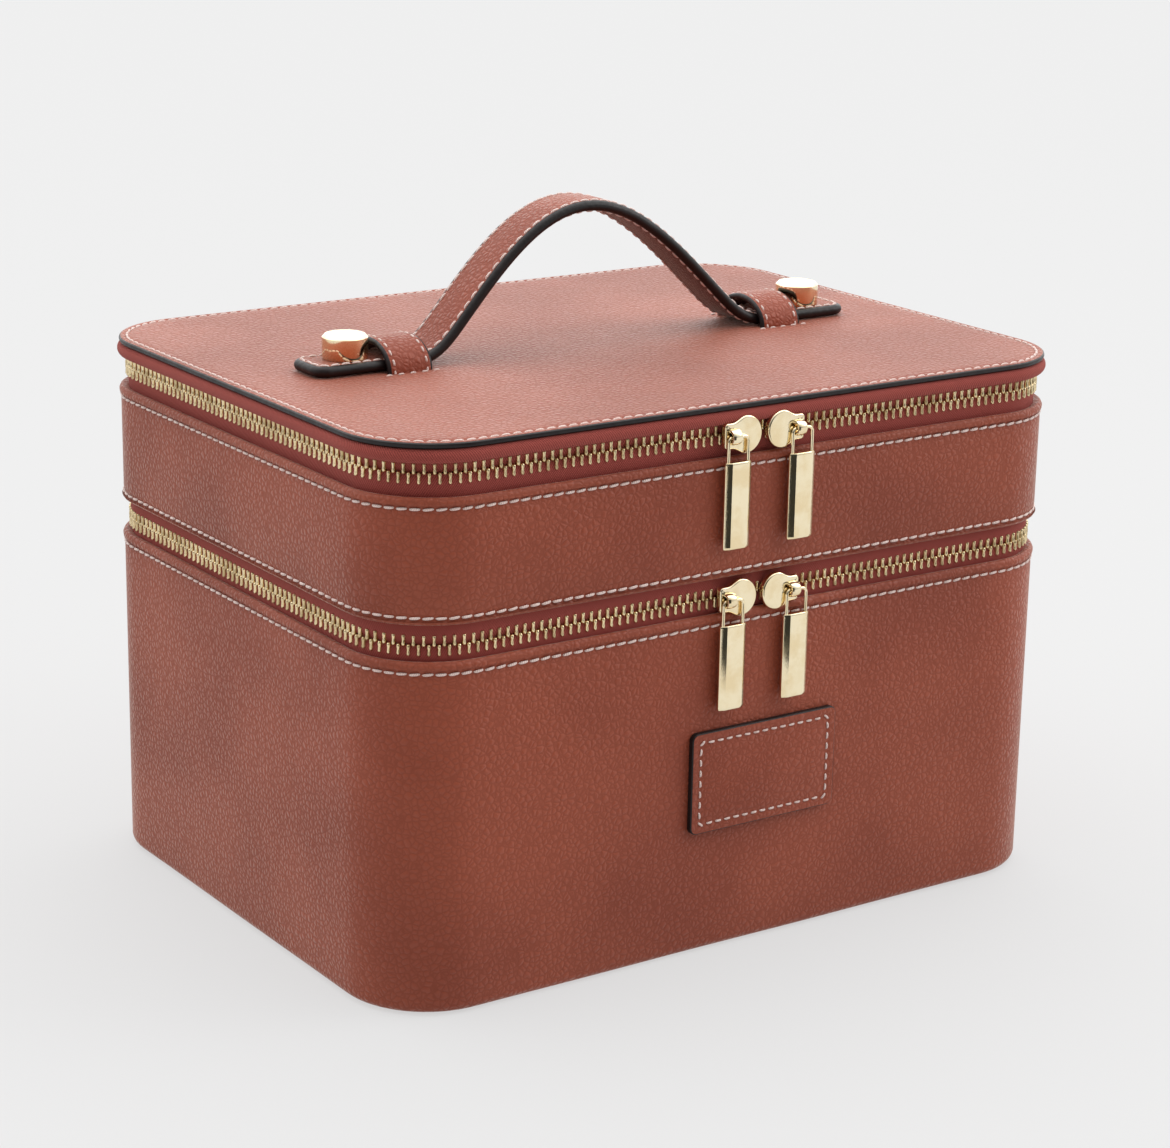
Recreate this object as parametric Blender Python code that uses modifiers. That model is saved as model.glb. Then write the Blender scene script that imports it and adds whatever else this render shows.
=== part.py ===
"""A two-tier leather jewellery case: a deep lower case, a shallow tray tier and a flat lid.

Units are metres. +X runs along the front to the right, -Y faces forward, +Z is up. The origin is the
middle of the underside. Each opening has one metal zip that runs round the front and the sides, with
two sliders that meet at the front. The handle slides through two keepers on the lid.
"""

import math

import bmesh
import bpy
from mathutils import Matrix, Vector

MM = 0.001

# Overall sizes
CASE_WIDTH = 250 * MM
CASE_DEPTH = 190 * MM
CORNER_RADIUS = 28 * MM
LOWER_HEIGHT = 106.9 * MM
TIER_HEIGHT = 36.5 * MM

# Gap between two pieces that touch
CLEAR = 0.3 * MM

# Thicknesses of the wall, from the outside in
LEATHER = 1.2 * MM
TAPE = 0.8 * MM
BOARD = 2.5 * MM
LINING = 1.0 * MM

# Zips
LOWER_ZIP_RISE = 4.5 * MM  # centre of the zip above the lower case's leather
LOWER_ZIP_HEAD = 6.4 * MM  # tier's leather above the centre of the zip
UPPER_ZIP_RISE = 6.6 * MM
UPPER_ZIP_HEAD = 7.4 * MM
ROW_HEIGHT = 2.4 * MM
ROW_GAP = 0.8 * MM
TOOTH_DEPTH = 2.6 * MM
TAPE_TUCK = 7.2 * MM  # tape sewn in behind the leather
RIM_BINDING = 1.8 * MM
ZIP_TURN_IN = 16 * MM  # zip's run past each back corner

# Sliders and pulls
SLIDER_X = {"left": -8.1 * MM, "right": 7.6 * MM}
SLIDER_LENGTH = 13.4 * MM
SLIDER_NOSE_SHARE = 0.64  # round nose's share of the length
SLIDER_NOSE_HEIGHT = 11.4 * MM
SLIDER_TAIL_HEIGHT = 8.4 * MM
SLIDER_PLATE = 1.4 * MM
SLIDER_REAR_PLATE = 1.3 * MM
SLIDER_REAR_HEIGHT = 4.0 * MM
SLIDER_WEB = 0.4 * MM
SLIDER_WEB_LENGTH = 5.0 * MM
BAIL_WIRE = 1.1 * MM
BAIL_INNER_WIDTH = 6.2 * MM
BAIL_INNER_HEIGHT = 8.1 * MM
BAIL_INNER_CORNER = 1.0 * MM
CROWN_WIDTH = 2.8 * MM
CROWN_SHIFT = 4.0 * MM  # crown's middle from the slider's middle, outwards
CROWN_BAR = 1.1 * MM
EYE_PLAY = 0.35 * MM
PULL_SHIFT = {"left": 2.6 * MM, "right": 5.2 * MM}
PULL_TAB_WIDTH = 9.3 * MM
PULL_TAB_LENGTH = 26.2 * MM
PULL_TAB_THICKNESS = 2.4 * MM
PULL_SOCKET_DEPTH = 2.6 * MM
PULL_TAB_EDGE = 0.35 * MM

# Base, lid and mirror
BASE_GAP = 0.8 * MM  # between the base panel and the side leather round it
SIDE_LEATHER_LIFT = 0.3 * MM
LID_LEATHER = 1.7 * MM
LID_BOARD = 2.0 * MM
MIRROR_WIDTH = 196 * MM
MIRROR_DEPTH = 134 * MM
MIRROR_THICKNESS = 1.8 * MM
MIRROR_CORNER = 8 * MM
MIRROR_FRAME = 5 * MM

# Handle
STRAP_WIDTH = 18.4 * MM
STRAP_THICKNESS = 3.3 * MM
ARCH_RISE = 42.7 * MM
ARCH_HALF_SPAN = 62.0 * MM
ARCH_FULLNESS = 1.1
ARCH_LEAN = 3.5 * MM  # how far the top of the arch leans to the left
ARCH_FLAT_FOOT = 3.0 * MM
KEEPER_LENGTH = 15.5 * MM
KEEPER_LEATHER = 1.2 * MM
KEEPER_RISE = 8.2 * MM
KEEPER_SIDE_PLAY = 1.8 * MM
KEEPER_FOOT = 5.9 * MM
TAB_REACH = 22.5 * MM  # tab's length beyond its keeper
TAB_CORNER = 5.0 * MM
STUD_DIAMETER = 14.0 * MM
STUD_HEIGHT = 7.4 * MM
STUD_CHAMFER = 0.7 * MM
STUD_STEM = 4.8 * MM
STUD_BORE = 3.4 * MM
STUD_BORE_DEPTH = 4.0 * MM
SCREW_SHANK = 2.8 * MM
SCREW_HEAD = 8.0 * MM
SCREW_HEAD_HEIGHT = 0.8 * MM

# Tray
DIVIDER = 3.0 * MM
DIVIDER_HEIGHT = 26 * MM
ROLL_COUNT = 5
ROLL_WIDTH = 16.0 * MM
ROLL_HEIGHT = 20.0 * MM
ROLL_LENGTH = 148 * MM
BACK_CELL_X = 40 * MM  # middle of each back divider from the centre

# Patch
PATCH_WIDTH = 54.0 * MM
PATCH_HEIGHT = 31.9 * MM
PATCH_THICKNESS = 1.8 * MM
PATCH_CORNER = 1.5 * MM
PATCH_X = 3.5 * MM
PATCH_BOTTOM = 39.4 * MM

CORNER_SEGMENTS = 6
BAIL_CORNER_SEGMENTS = 4
NOSE_STEPS = 12
KEEPER_STEPS = 16
ARCH_STEPS = 28
ROUND_STEPS = 24
SMOOTH_ANGLE = 40  # degrees between two faces that still shade as one

# Heights worked out from the sizes above
lower_zip_z = LOWER_HEIGHT + LOWER_ZIP_RISE
tier_bottom = lower_zip_z + LOWER_ZIP_HEAD
tier_top = tier_bottom + TIER_HEIGHT
upper_zip_z = tier_top + UPPER_ZIP_RISE
lid_leather_bottom = upper_zip_z + UPPER_ZIP_HEAD
lid_top = lid_leather_bottom + LID_LEATHER

# Depths in from the leather's outer face
tape_inset = LEATHER + CLEAR
board_inset = tape_inset + TAPE + CLEAR
lining_inset = board_inset + BOARD + CLEAR
inside_inset = lining_inset + LINING
row_inset = tape_inset + TAPE / 2 - TOOTH_DEPTH / 2
rear_plate_inset = row_inset + TOOTH_DEPTH + CLEAR

# Handle's places along X and Z
keeper_start = ARCH_HALF_SPAN + CLEAR
keeper_end = keeper_start + KEEPER_LENGTH
tab_end = keeper_end + TAB_REACH
stud_x = keeper_end + CLEAR + STUD_DIAMETER / 2 + STUD_CHAMFER
strap_bottom = lid_top + CLEAR
strap_top = strap_bottom + STRAP_THICKNESS

COLOURS = {
    "tan_leather": ((0.36, 0.12, 0.075), 0.5, 0.0),
    "tape": ((0.20, 0.045, 0.04), 0.85, 0.0),
    "board": ((0.45, 0.34, 0.22), 0.9, 0.0),
    "foam": ((0.80, 0.78, 0.72), 1.0, 0.0),
    "lining": ((0.42, 0.26, 0.18), 0.95, 0.0),
    "gold": ((0.93, 0.80, 0.50), 0.15, 1.0),
    "mirror": ((0.90, 0.92, 0.93), 0.03, 1.0),
}


def clear_scene():
    for obj in list(bpy.data.objects):
        bpy.data.objects.remove(obj, do_unlink=True)


def new_collection(name):
    collection = bpy.data.collections.new(name)
    bpy.context.scene.collection.children.link(collection)
    return collection


def make_material(name):
    colour, roughness, metallic = COLOURS[name]
    material = bpy.data.materials.new(name)
    material.use_nodes = True
    shader = material.node_tree.nodes["Principled BSDF"]
    shader.inputs["Base Color"].default_value = (*colour, 1.0)
    shader.inputs["Roughness"].default_value = roughness
    shader.inputs["Metallic"].default_value = metallic
    return material


def add_object(name, mesh_data, look, pivot=None):
    """Links an object whose mesh is in world coordinates, and hangs it on its joint's pivot."""
    obj = bpy.data.objects.new(name, mesh_data)
    parts.objects.link(obj)
    obj.data.materials.append(materials[look])
    if pivot:
        obj.parent = pivot
        obj.matrix_parent_inverse = Matrix.Translation(-pivot_places[pivot.name])
    return obj


def make_pivot(name, place, parent=None):
    """An empty on a joint's axis, which every piece of the moving body hangs on."""
    pivot = bpy.data.objects.new(name, None)
    pivot.empty_display_size = 0.01
    parts.objects.link(pivot)
    place = Vector(place)
    pivot_places[name] = place
    pivot.location = place
    if parent:
        pivot.parent = parent
        pivot.matrix_parent_inverse = Matrix.Translation(-pivot_places[parent.name])
    return pivot


def mesh_from(name, bm, smooth_angle=None):
    mesh = bpy.data.meshes.new(name)
    bm.to_mesh(mesh)
    bm.free()
    if smooth_angle:
        mesh.shade_smooth()
        mesh.set_sharp_from_angle(angle=math.radians(smooth_angle))
    return mesh


def arc(centre, radius, start, end, segments):
    """Points along a round corner, with its angles in degrees."""
    points = []
    for step in range(segments + 1):
        angle = math.radians(start + (end - start) * step / segments)
        points.append((centre[0] + radius * math.cos(angle), centre[1] + radius * math.sin(angle)))
    return points


def rounded_outline(width, depth, radius, back_gap=0.0):
    """A rounded rectangle, anticlockwise from the back left. With a gap it stays open at the back."""
    half_x = width / 2 - radius
    half_y = depth / 2 - radius
    points = [(-back_gap / 2, depth / 2)] if back_gap else []
    for centre_x, centre_y, start in (
        (-half_x, half_y, 90),
        (-half_x, -half_y, 180),
        (half_x, -half_y, 270),
        (half_x, half_y, 0),
    ):
        points += arc((centre_x, centre_y), radius, start, start + 90, CORNER_SEGMENTS)
    if back_gap:
        points.append((back_gap / 2, depth / 2))
    return points


def case_outline(inset, back_gap=0.0):
    return rounded_outline(
        CASE_WIDTH - 2 * inset, CASE_DEPTH - 2 * inset, CORNER_RADIUS - inset, back_gap
    )


def wall_sheet(points, low, high, closed):
    """An upright open sheet that follows an outline, facing outwards."""
    bm = bmesh.new()
    verts = [bm.verts.new((x, y, low)) for x, y in points]
    edges = [bm.edges.new(pair) for pair in zip(verts, verts[1:])]
    if closed:
        edges.append(bm.edges.new((verts[-1], verts[0])))
    grown = bmesh.ops.extrude_edge_only(bm, edges=edges)
    top = [item for item in grown["geom"] if isinstance(item, bmesh.types.BMVert)]
    bmesh.ops.translate(bm, verts=top, vec=(0, 0, high - low))
    bm.normal_update()
    face = next(iter(bm.faces))
    if face.normal.dot(face.calc_center_median().xy.to_3d()) < 0:
        bmesh.ops.reverse_faces(bm, faces=list(bm.faces))
    return bm, edges


def thicken(obj, thickness, offset=-1.0):
    solidify = obj.modifiers.new("Thickness", "SOLIDIFY")
    solidify.thickness = thickness
    solidify.offset = offset
    solidify.use_even_offset = True
    return obj


def band(name, look, inset, thickness, low, high, pivot=None, back_gap=0.0):
    """A wall that runs all the way round, or round three sides with a gap at the back."""
    bm, _ = wall_sheet(case_outline(inset, back_gap), low, high, closed=not back_gap)
    obj = add_object(name, mesh_from(name, bm, SMOOTH_ANGLE), look, pivot)
    return thicken(obj, thickness)


def tub(name, look, inset, thickness, low, high, pivot=None):
    """A wall all the way round with a floor of the same thickness."""
    bm, bottom_edges = wall_sheet(case_outline(inset), low, high, closed=True)
    bmesh.ops.contextual_create(bm, geom=bottom_edges)
    bm.normal_update()
    floor = min(bm.faces, key=lambda face: face.calc_center_median().z)
    if floor.normal.z > 0:
        bmesh.ops.reverse_faces(bm, faces=[floor])
    obj = add_object(name, mesh_from(name, bm, SMOOTH_ANGLE), look, pivot)
    return thicken(obj, thickness)


def prism_mesh(name, points, low, high, axis="Z", smooth_angle=None):
    """A flat outline extruded along an axis. Each point of the outline is on the other two axes."""
    place = {
        "X": lambda a, b: (low, a, b),
        "Y": lambda a, b: (a, low, b),
        "Z": lambda a, b: (a, b, low),
    }[axis]
    length = Vector([high - low if letter == axis else 0.0 for letter in "XYZ"])
    bm = bmesh.new()
    verts = [bm.verts.new(place(*point)) for point in points]
    edges = [bm.edges.new(pair) for pair in zip(verts, verts[1:] + verts[:1])]
    bmesh.ops.contextual_create(bm, geom=edges)
    grown = bmesh.ops.extrude_face_region(bm, geom=list(bm.faces))
    moved = [item for item in grown["geom"] if isinstance(item, bmesh.types.BMVert)]
    bmesh.ops.translate(bm, verts=moved, vec=length)
    bmesh.ops.recalc_face_normals(bm, faces=list(bm.faces))
    return mesh_from(name, bm, smooth_angle)


def prism(name, look, points, low, high, axis="Z", pivot=None, smooth_angle=None):
    return add_object(name, prism_mesh(name, points, low, high, axis, smooth_angle), look, pivot)


def rectangle(low_a, high_a, low_b, high_b):
    return [(low_a, low_b), (high_a, low_b), (high_a, high_b), (low_a, high_b)]


def apply_shape(target, mesh, operation, name):
    """Adds or cuts a helper shape, which stays out of the model as a wire."""
    helper = bpy.data.objects.new(name, mesh)
    helpers.objects.link(helper)
    helper.hide_render = True
    helper.display_type = "WIRE"
    helper.parent = target.parent
    helper.matrix_parent_inverse = target.matrix_parent_inverse.copy()
    helper.location = target.location
    boolean = target.modifiers.new(name, "BOOLEAN")
    boolean.operation = operation
    boolean.solver = "EXACT"
    boolean.object = helper


def turned(name, look, profile, place, pivot):
    """A round piece from its profile, a list of (radius, height) down its outer side."""
    bm = bmesh.new()
    verts = [bm.verts.new((radius, 0, height)) for radius, height in profile]
    for pair in zip(verts, verts[1:]):
        bm.edges.new(pair)
    obj = add_object(name, mesh_from(name, bm), look, pivot)
    obj.location = place
    screw = obj.modifiers.new("Turn", "SCREW")
    screw.axis = "Z"
    screw.steps = ROUND_STEPS
    screw.render_steps = ROUND_STEPS
    screw.use_merge_vertices = True
    screw.merge_threshold = 0.00001
    screw.use_smooth_shade = True
    return obj


def ribbon(name, look, points, low, high, axis, thickness, pivot):
    """A strip of leather whose middle line is an outline, laid across an axis."""
    place = {"X": lambda a, b: (low, a, b), "Y": lambda a, b: (a, low, b)}[axis]
    width = Vector((high - low, 0, 0)) if axis == "X" else Vector((0, high - low, 0))
    bm = bmesh.new()
    verts = [bm.verts.new(place(*point)) for point in points]
    edges = [bm.edges.new(pair) for pair in zip(verts, verts[1:])]
    grown = bmesh.ops.extrude_edge_only(bm, edges=edges)
    moved = [item for item in grown["geom"] if isinstance(item, bmesh.types.BMVert)]
    bmesh.ops.translate(bm, verts=moved, vec=width)
    obj = add_object(name, mesh_from(name, bm, SMOOTH_ANGLE), look, pivot)
    return thicken(obj, thickness, offset=0.0)


def zip_half(name, zip_z, above, tape_end, pivot):
    """One side of a zip: its row of teeth, and its tape from the row to where it is sewn in."""
    direction = 1 if above else -1
    row_inner = zip_z + direction * ROW_GAP / 2
    row_outer = row_inner + direction * ROW_HEIGHT
    tape_start = row_outer + direction * CLEAR
    gap = CASE_WIDTH - 2 * CORNER_RADIUS - 2 * ZIP_TURN_IN
    band(f"{name}_teeth", "gold", row_inset, TOOTH_DEPTH, *sorted((row_inner, row_outer)), pivot, gap)
    band(f"{name}_tape", "tape", tape_inset, TAPE, *sorted((tape_start, tape_end)), pivot, gap)


def hinge_strip(name, low, high, pivot):
    """The flexible strip at the back that joins two tiers between the ends of a zip."""
    half = CASE_WIDTH / 2 - CORNER_RADIUS - ZIP_TURN_IN - TOOTH_DEPTH
    back = CASE_DEPTH / 2 - tape_inset
    prism(name, "tan_leather", rectangle(-half, half, back - TAPE, back), low, high, "Z", pivot)


def build_lower_case():
    base_outline = case_outline(LEATHER + BASE_GAP)
    prism("base_leather", "tan_leather", base_outline, 0, LEATHER, "Z", None, SMOOTH_ANGLE)
    band("lower_side_leather", "tan_leather", 0, LEATHER, SIDE_LEATHER_LIFT, LOWER_HEIGHT)
    board_bottom = LEATHER + CLEAR
    rim_bottom = LOWER_HEIGHT - RIM_BINDING
    tuck_z = LOWER_HEIGHT - TAPE_TUCK
    band("lower_foam_wrap", "foam", tape_inset, TAPE, board_bottom, tuck_z - CLEAR)
    tub("lower_board_box", "board", board_inset, BOARD, board_bottom, rim_bottom - CLEAR)
    lining_bottom = board_bottom + BOARD + CLEAR
    tub("lower_lining", "lining", lining_inset, LINING, lining_bottom, rim_bottom - CLEAR)
    binding = inside_inset - board_inset
    band("lower_rim_binding", "lining", board_inset, binding, rim_bottom, LOWER_HEIGHT)
    zip_half("lower_zip_bottom", lower_zip_z, False, tuck_z, None)
    hinge_strip("lower_hinge_strip", tuck_z, tier_bottom + TAPE_TUCK, None)
    build_patch()


def build_patch():
    centre_z = PATCH_BOTTOM + PATCH_HEIGHT / 2
    outline = rounded_outline(PATCH_WIDTH, PATCH_HEIGHT, PATCH_CORNER)
    placed = [(x + PATCH_X, z + centre_z) for x, z in outline]
    front = -CASE_DEPTH / 2 - CLEAR
    prism("front_patch", "tan_leather", placed, front - PATCH_THICKNESS, front, "Y", None, SMOOTH_ANGLE)


def build_tier(pivot):
    band("tier_side_leather", "tan_leather", 0, LEATHER, tier_bottom, tier_top, pivot)
    lower_tuck = tier_bottom + TAPE_TUCK
    upper_tuck = tier_top - TAPE_TUCK
    zip_half("lower_zip_top", lower_zip_z, True, lower_tuck, pivot)
    zip_half("upper_zip_bottom", upper_zip_z, False, upper_tuck, pivot)
    band("tier_foam_wrap", "foam", tape_inset, TAPE, lower_tuck + CLEAR, upper_tuck - CLEAR, pivot)
    board_bottom = tier_bottom + CLEAR
    rim_bottom = tier_top - RIM_BINDING
    tub("tier_board_tray", "board", board_inset, BOARD, board_bottom, rim_bottom - CLEAR, pivot)
    tray_floor = board_bottom + BOARD + CLEAR
    tub("tier_lining", "lining", lining_inset, LINING, tray_floor, rim_bottom - CLEAR, pivot)
    binding = inside_inset - board_inset
    band("tier_rim_binding", "lining", board_inset, binding, rim_bottom, tier_top, pivot)
    underside = case_outline(board_inset + BOARD / 2)
    top = board_bottom - CLEAR
    name = "tier_underside_lining"
    prism(name, "lining", underside, top - LINING, top, "Z", pivot, SMOOTH_ANGLE)
    hinge_strip("upper_hinge_strip", upper_tuck, lid_leather_bottom - CLEAR, pivot)
    build_tray_fittings(pivot, tray_floor + LINING + CLEAR)


def build_tray_fittings(pivot, floor):
    """Ring rolls at the front left, and dividers that make the open cells."""
    half_x = CASE_WIDTH / 2 - inside_inset - CLEAR
    half_y = CASE_DEPTH / 2 - inside_inset - CLEAR
    # A straight piece stands clear of the rounded corners when it starts this far in.
    corner_inset = (CORNER_RADIUS - inside_inset) * (1 - math.sqrt(0.5))
    top = floor + DIVIDER_HEIGHT
    pitch = ROLL_WIDTH + CLEAR
    first_y = -half_y + corner_inset + ROLL_WIDTH / 2
    split_y = first_y + (ROLL_COUNT - 1) * pitch + ROLL_WIDTH / 2 + CLEAR
    long_outline = rectangle(-half_x, half_x, split_y, split_y + DIVIDER)
    prism("tray_divider_long", "lining", long_outline, floor, top, "Z", pivot)
    rolls_start = -half_x + corner_inset
    rolls_end = rolls_start + ROLL_LENGTH
    front_outline = rectangle(
        rolls_end + CLEAR, rolls_end + CLEAR + DIVIDER, -half_y, split_y - CLEAR
    )
    prism("tray_divider_front", "lining", front_outline, floor, top, "Z", pivot)
    for side, centre in (("left", -BACK_CELL_X), ("right", BACK_CELL_X)):
        outline = rectangle(
            centre - DIVIDER / 2, centre + DIVIDER / 2, split_y + DIVIDER + CLEAR, half_y
        )
        prism(f"tray_divider_back_{side}", "lining", outline, floor, top, "Z", pivot)
    for number in range(ROLL_COUNT):
        y = first_y + number * pitch
        radius = ROLL_WIDTH / 2
        outline = [(y - radius, floor), (y + radius, floor)]
        outline += arc((y, floor + ROLL_HEIGHT - radius), radius, 0, 180, 2 * CORNER_SEGMENTS)
        name = f"ring_roll_{number + 1}"
        prism(name, "lining", outline, rolls_start, rolls_end, "X", pivot, SMOOTH_ANGLE)


def build_lid(pivot):
    outline = case_outline(0)
    leather = prism(
        "lid_top_leather", "tan_leather", outline, lid_leather_bottom, lid_top, "Z", pivot, SMOOTH_ANGLE
    )
    for side, sign in (("left", -1), ("right", 1)):
        for row, across in (("front", -1), ("back", 1)):
            cut_keeper_slot(leather, sign, across, f"keeper_slot_{side}_{row}")
    zip_half("upper_zip_top", upper_zip_z, True, lid_leather_bottom - CLEAR, pivot)
    foot_space = KEEPER_LEATHER + 2 * CLEAR
    board_top = lid_leather_bottom - foot_space
    board_bottom = board_top - LID_BOARD
    board = case_outline(board_inset)
    prism("lid_board", "board", board, board_bottom, board_top, "Z", pivot, SMOOTH_ANGLE)
    lining_top = board_bottom - CLEAR
    lining_bottom = lining_top - LINING
    lining = case_outline(rear_plate_inset)
    prism("lid_lining", "lining", lining, lining_bottom, lining_top, "Z", pivot, SMOOTH_ANGLE)
    build_mirror(pivot, lining_bottom - CLEAR)


def build_mirror(pivot, top):
    glass = rounded_outline(MIRROR_WIDTH, MIRROR_DEPTH, MIRROR_CORNER)
    prism("lid_mirror", "mirror", glass, top - MIRROR_THICKNESS, top, "Z", pivot, SMOOTH_ANGLE)
    grown = MIRROR_FRAME + CLEAR
    outer = rounded_outline(
        MIRROR_WIDTH + 2 * grown, MIRROR_DEPTH + 2 * grown, MIRROR_CORNER + grown
    )
    bm, _ = wall_sheet(outer, top - MIRROR_THICKNESS, top, closed=True)
    frame = add_object("mirror_frame", mesh_from("mirror_frame", bm, SMOOTH_ANGLE), "tan_leather", pivot)
    thicken(frame, MIRROR_FRAME)


def handle_span(sign, start, end):
    """Two places on one side of the lid's middle, the lower first."""
    return sorted((sign * start, sign * end))


def keeper_half_width():
    return STRAP_WIDTH / 2 + KEEPER_SIDE_PLAY + KEEPER_LEATHER / 2


def cut_keeper_slot(leather, sign, across, name):
    """A slit in the lid's leather that one foot of a keeper goes down through."""
    half_slit = KEEPER_LEATHER / 2 + CLEAR
    middle = across * keeper_half_width()
    ends = handle_span(sign, keeper_start - CLEAR, keeper_end + CLEAR)
    outline = rectangle(*ends, middle - half_slit, middle + half_slit)
    mesh = prism_mesh(name, outline, lid_leather_bottom - LID_LEATHER, lid_top + LID_LEATHER)
    apply_shape(leather, mesh, "DIFFERENCE", name)


def build_keeper(side, sign, pivot):
    """A bridge of leather over the strap, with its feet turned out under the lid's leather."""
    half = keeper_half_width()
    foot_z = lid_leather_bottom - CLEAR - KEEPER_LEATHER / 2
    bridge = [
        (-half * math.cos(angle), lid_top + KEEPER_RISE * math.sin(angle))
        for angle in (math.pi * step / KEEPER_STEPS for step in range(KEEPER_STEPS + 1))
    ]
    points = [(-half - KEEPER_FOOT, foot_z), (-half, foot_z)]
    points += bridge
    points += [(half, foot_z), (half + KEEPER_FOOT, foot_z)]
    ends = handle_span(sign, keeper_start, keeper_end)
    ribbon(f"keeper_{side}", "tan_leather", points, *ends, "X", KEEPER_LEATHER, pivot)


def build_handle_strap(pivot):
    """The arch between the keepers, with a short flat stretch at each foot."""
    middle = strap_bottom + STRAP_THICKNESS / 2
    reach = ARCH_HALF_SPAN - ARCH_FLAT_FOOT
    points = [(-ARCH_HALF_SPAN, middle)]
    for step in range(ARCH_STEPS + 1):
        along = 2 * step / ARCH_STEPS - 1
        share = max(0.0, math.cos(math.pi / 2 * along)) ** ARCH_FULLNESS
        points.append((reach * along - ARCH_LEAN * share, middle + ARCH_RISE * share))
    points.append((ARCH_HALF_SPAN, middle))
    half = STRAP_WIDTH / 2
    ribbon("handle_strap", "tan_leather", points, -half, half, "Y", STRAP_THICKNESS, pivot)


def build_handle_end(side, sign, lid_pivot):
    """The end of the strap: a flat tab with a stud that a screw holds from below."""
    hole_x = sign * stud_x
    pivot = make_pivot(f"handle_{side}_pivot", (hole_x, 0, strap_bottom), lid_pivot)
    half = STRAP_WIDTH / 2
    outline = [(keeper_start, -half)]
    outline += arc((tab_end - TAB_CORNER, TAB_CORNER - half), TAB_CORNER, -90, 0, CORNER_SEGMENTS)
    outline += arc((tab_end - TAB_CORNER, half - TAB_CORNER), TAB_CORNER, 0, 90, CORNER_SEGMENTS)
    outline += [(keeper_start, half)]
    outline = [(sign * x, y) for x, y in outline]
    name = f"handle_tab_{side}"
    tab = prism(name, "tan_leather", outline, strap_bottom, strap_top, "Z", pivot, SMOOTH_ANGLE)
    head_hole = SCREW_HEAD_HEIGHT + 2 * CLEAR
    for label, radius, low, high in (
        ("stem_hole", STUD_STEM / 2 + CLEAR, strap_bottom - CLEAR, strap_top + CLEAR),
        ("head_hole", SCREW_HEAD / 2 + CLEAR, strap_bottom - CLEAR, strap_bottom + head_hole),
    ):
        circle = arc((hole_x, 0), radius, 0, 360, ROUND_STEPS)[:-1]
        mesh = prism_mesh(f"{label}_{side}", circle, low, high)
        apply_shape(tab, mesh, "DIFFERENCE", f"{label}_{side}")
    build_stud(side, hole_x, pivot, head_hole)


def build_stud(side, x, pivot, head_hole):
    radius = STUD_DIAMETER / 2
    foot = strap_top + CLEAR
    top = foot + STUD_HEIGHT
    stem_end = strap_bottom + head_hole + CLEAR
    bore_end = foot + STUD_BORE_DEPTH
    stud_profile = [
        (0, top),
        (radius - STUD_CHAMFER, top),
        (radius, top - STUD_CHAMFER),
        (radius, foot),
        (STUD_STEM / 2, foot),
        (STUD_STEM / 2, stem_end),
        (STUD_BORE / 2, stem_end),
        (STUD_BORE / 2, bore_end),
        (0, bore_end),
    ]
    turned(f"stud_{side}", "gold", stud_profile, (x, 0, 0), pivot)
    head_bottom = strap_bottom + CLEAR
    head_top = head_bottom + SCREW_HEAD_HEIGHT
    screw_profile = [
        (0, bore_end - CLEAR),
        (SCREW_SHANK / 2, bore_end - CLEAR),
        (SCREW_SHANK / 2, head_top),
        (SCREW_HEAD / 2, head_top),
        (SCREW_HEAD / 2, head_bottom),
        (0, head_bottom),
    ]
    turned(f"stud_screw_{side}", "gold", screw_profile, (x, 0, 0), pivot)


def slider_outline(x, z, sign):
    """The slider's front plate: a tall round nose at the middle of the zip, and a lower square tail."""
    half = SLIDER_LENGTH / 2
    nose = SLIDER_NOSE_HEIGHT / 2
    tail = SLIDER_TAIL_HEIGHT / 2
    nose_round = half * SLIDER_NOSE_SHARE
    points = [(half, -tail), (half, tail)]
    for step in range(NOSE_STEPS + 1):
        angle = math.pi / 2 + math.pi * step / NOSE_STEPS
        points.append((nose_round * (1 + math.cos(angle)) - half, nose * math.sin(angle)))
    return [(x + sign * along, z + up) for along, up in points]


def build_slider(level, side, sign, zip_z, parent):
    """A slider astride the two rows, and the pull that hangs from its crown."""
    x = SLIDER_X[side]
    front = -CASE_DEPTH / 2
    name = f"{level}_slider_{side}"
    pivot = make_pivot(f"{name}_pivot", (x, front, zip_z), parent)
    face = front - CLEAR - SLIDER_PLATE
    outline = slider_outline(x, zip_z, sign)
    slider = prism(name, "gold", outline, face, front - CLEAR, "Y", pivot, SMOOTH_ANGLE)
    add_rear_plate(slider, name, x, zip_z)
    eye_depth = BAIL_WIRE + 2 * EYE_PLAY
    add_crown(slider, name, x + sign * CROWN_SHIFT, face, zip_z, eye_depth)
    build_pull(level, side, x + sign * PULL_SHIFT[side], face - eye_depth / 2, zip_z, pivot)


def add_rear_plate(slider, name, x, zip_z):
    """The plate behind the teeth, and the thin web between the two rows that carries it."""
    front = -CASE_DEPTH / 2
    rear = front + rear_plate_inset
    half = SLIDER_LENGTH / 2
    half_height = SLIDER_REAR_HEIGHT / 2
    outline = rectangle(x - half, x + half, zip_z - half_height, zip_z + half_height)
    mesh = prism_mesh(f"{name}_rear", outline, rear, rear + SLIDER_REAR_PLATE, "Y")
    apply_shape(slider, mesh, "UNION", f"{name}_rear")
    half = SLIDER_WEB_LENGTH / 2
    half_height = SLIDER_WEB / 2
    outline = rectangle(x - half, x + half, zip_z - half_height, zip_z + half_height)
    lap = SLIDER_REAR_PLATE / 2
    mesh = prism_mesh(f"{name}_web", outline, front - CLEAR - lap, rear + lap, "Y")
    apply_shape(slider, mesh, "UNION", f"{name}_web")


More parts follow.
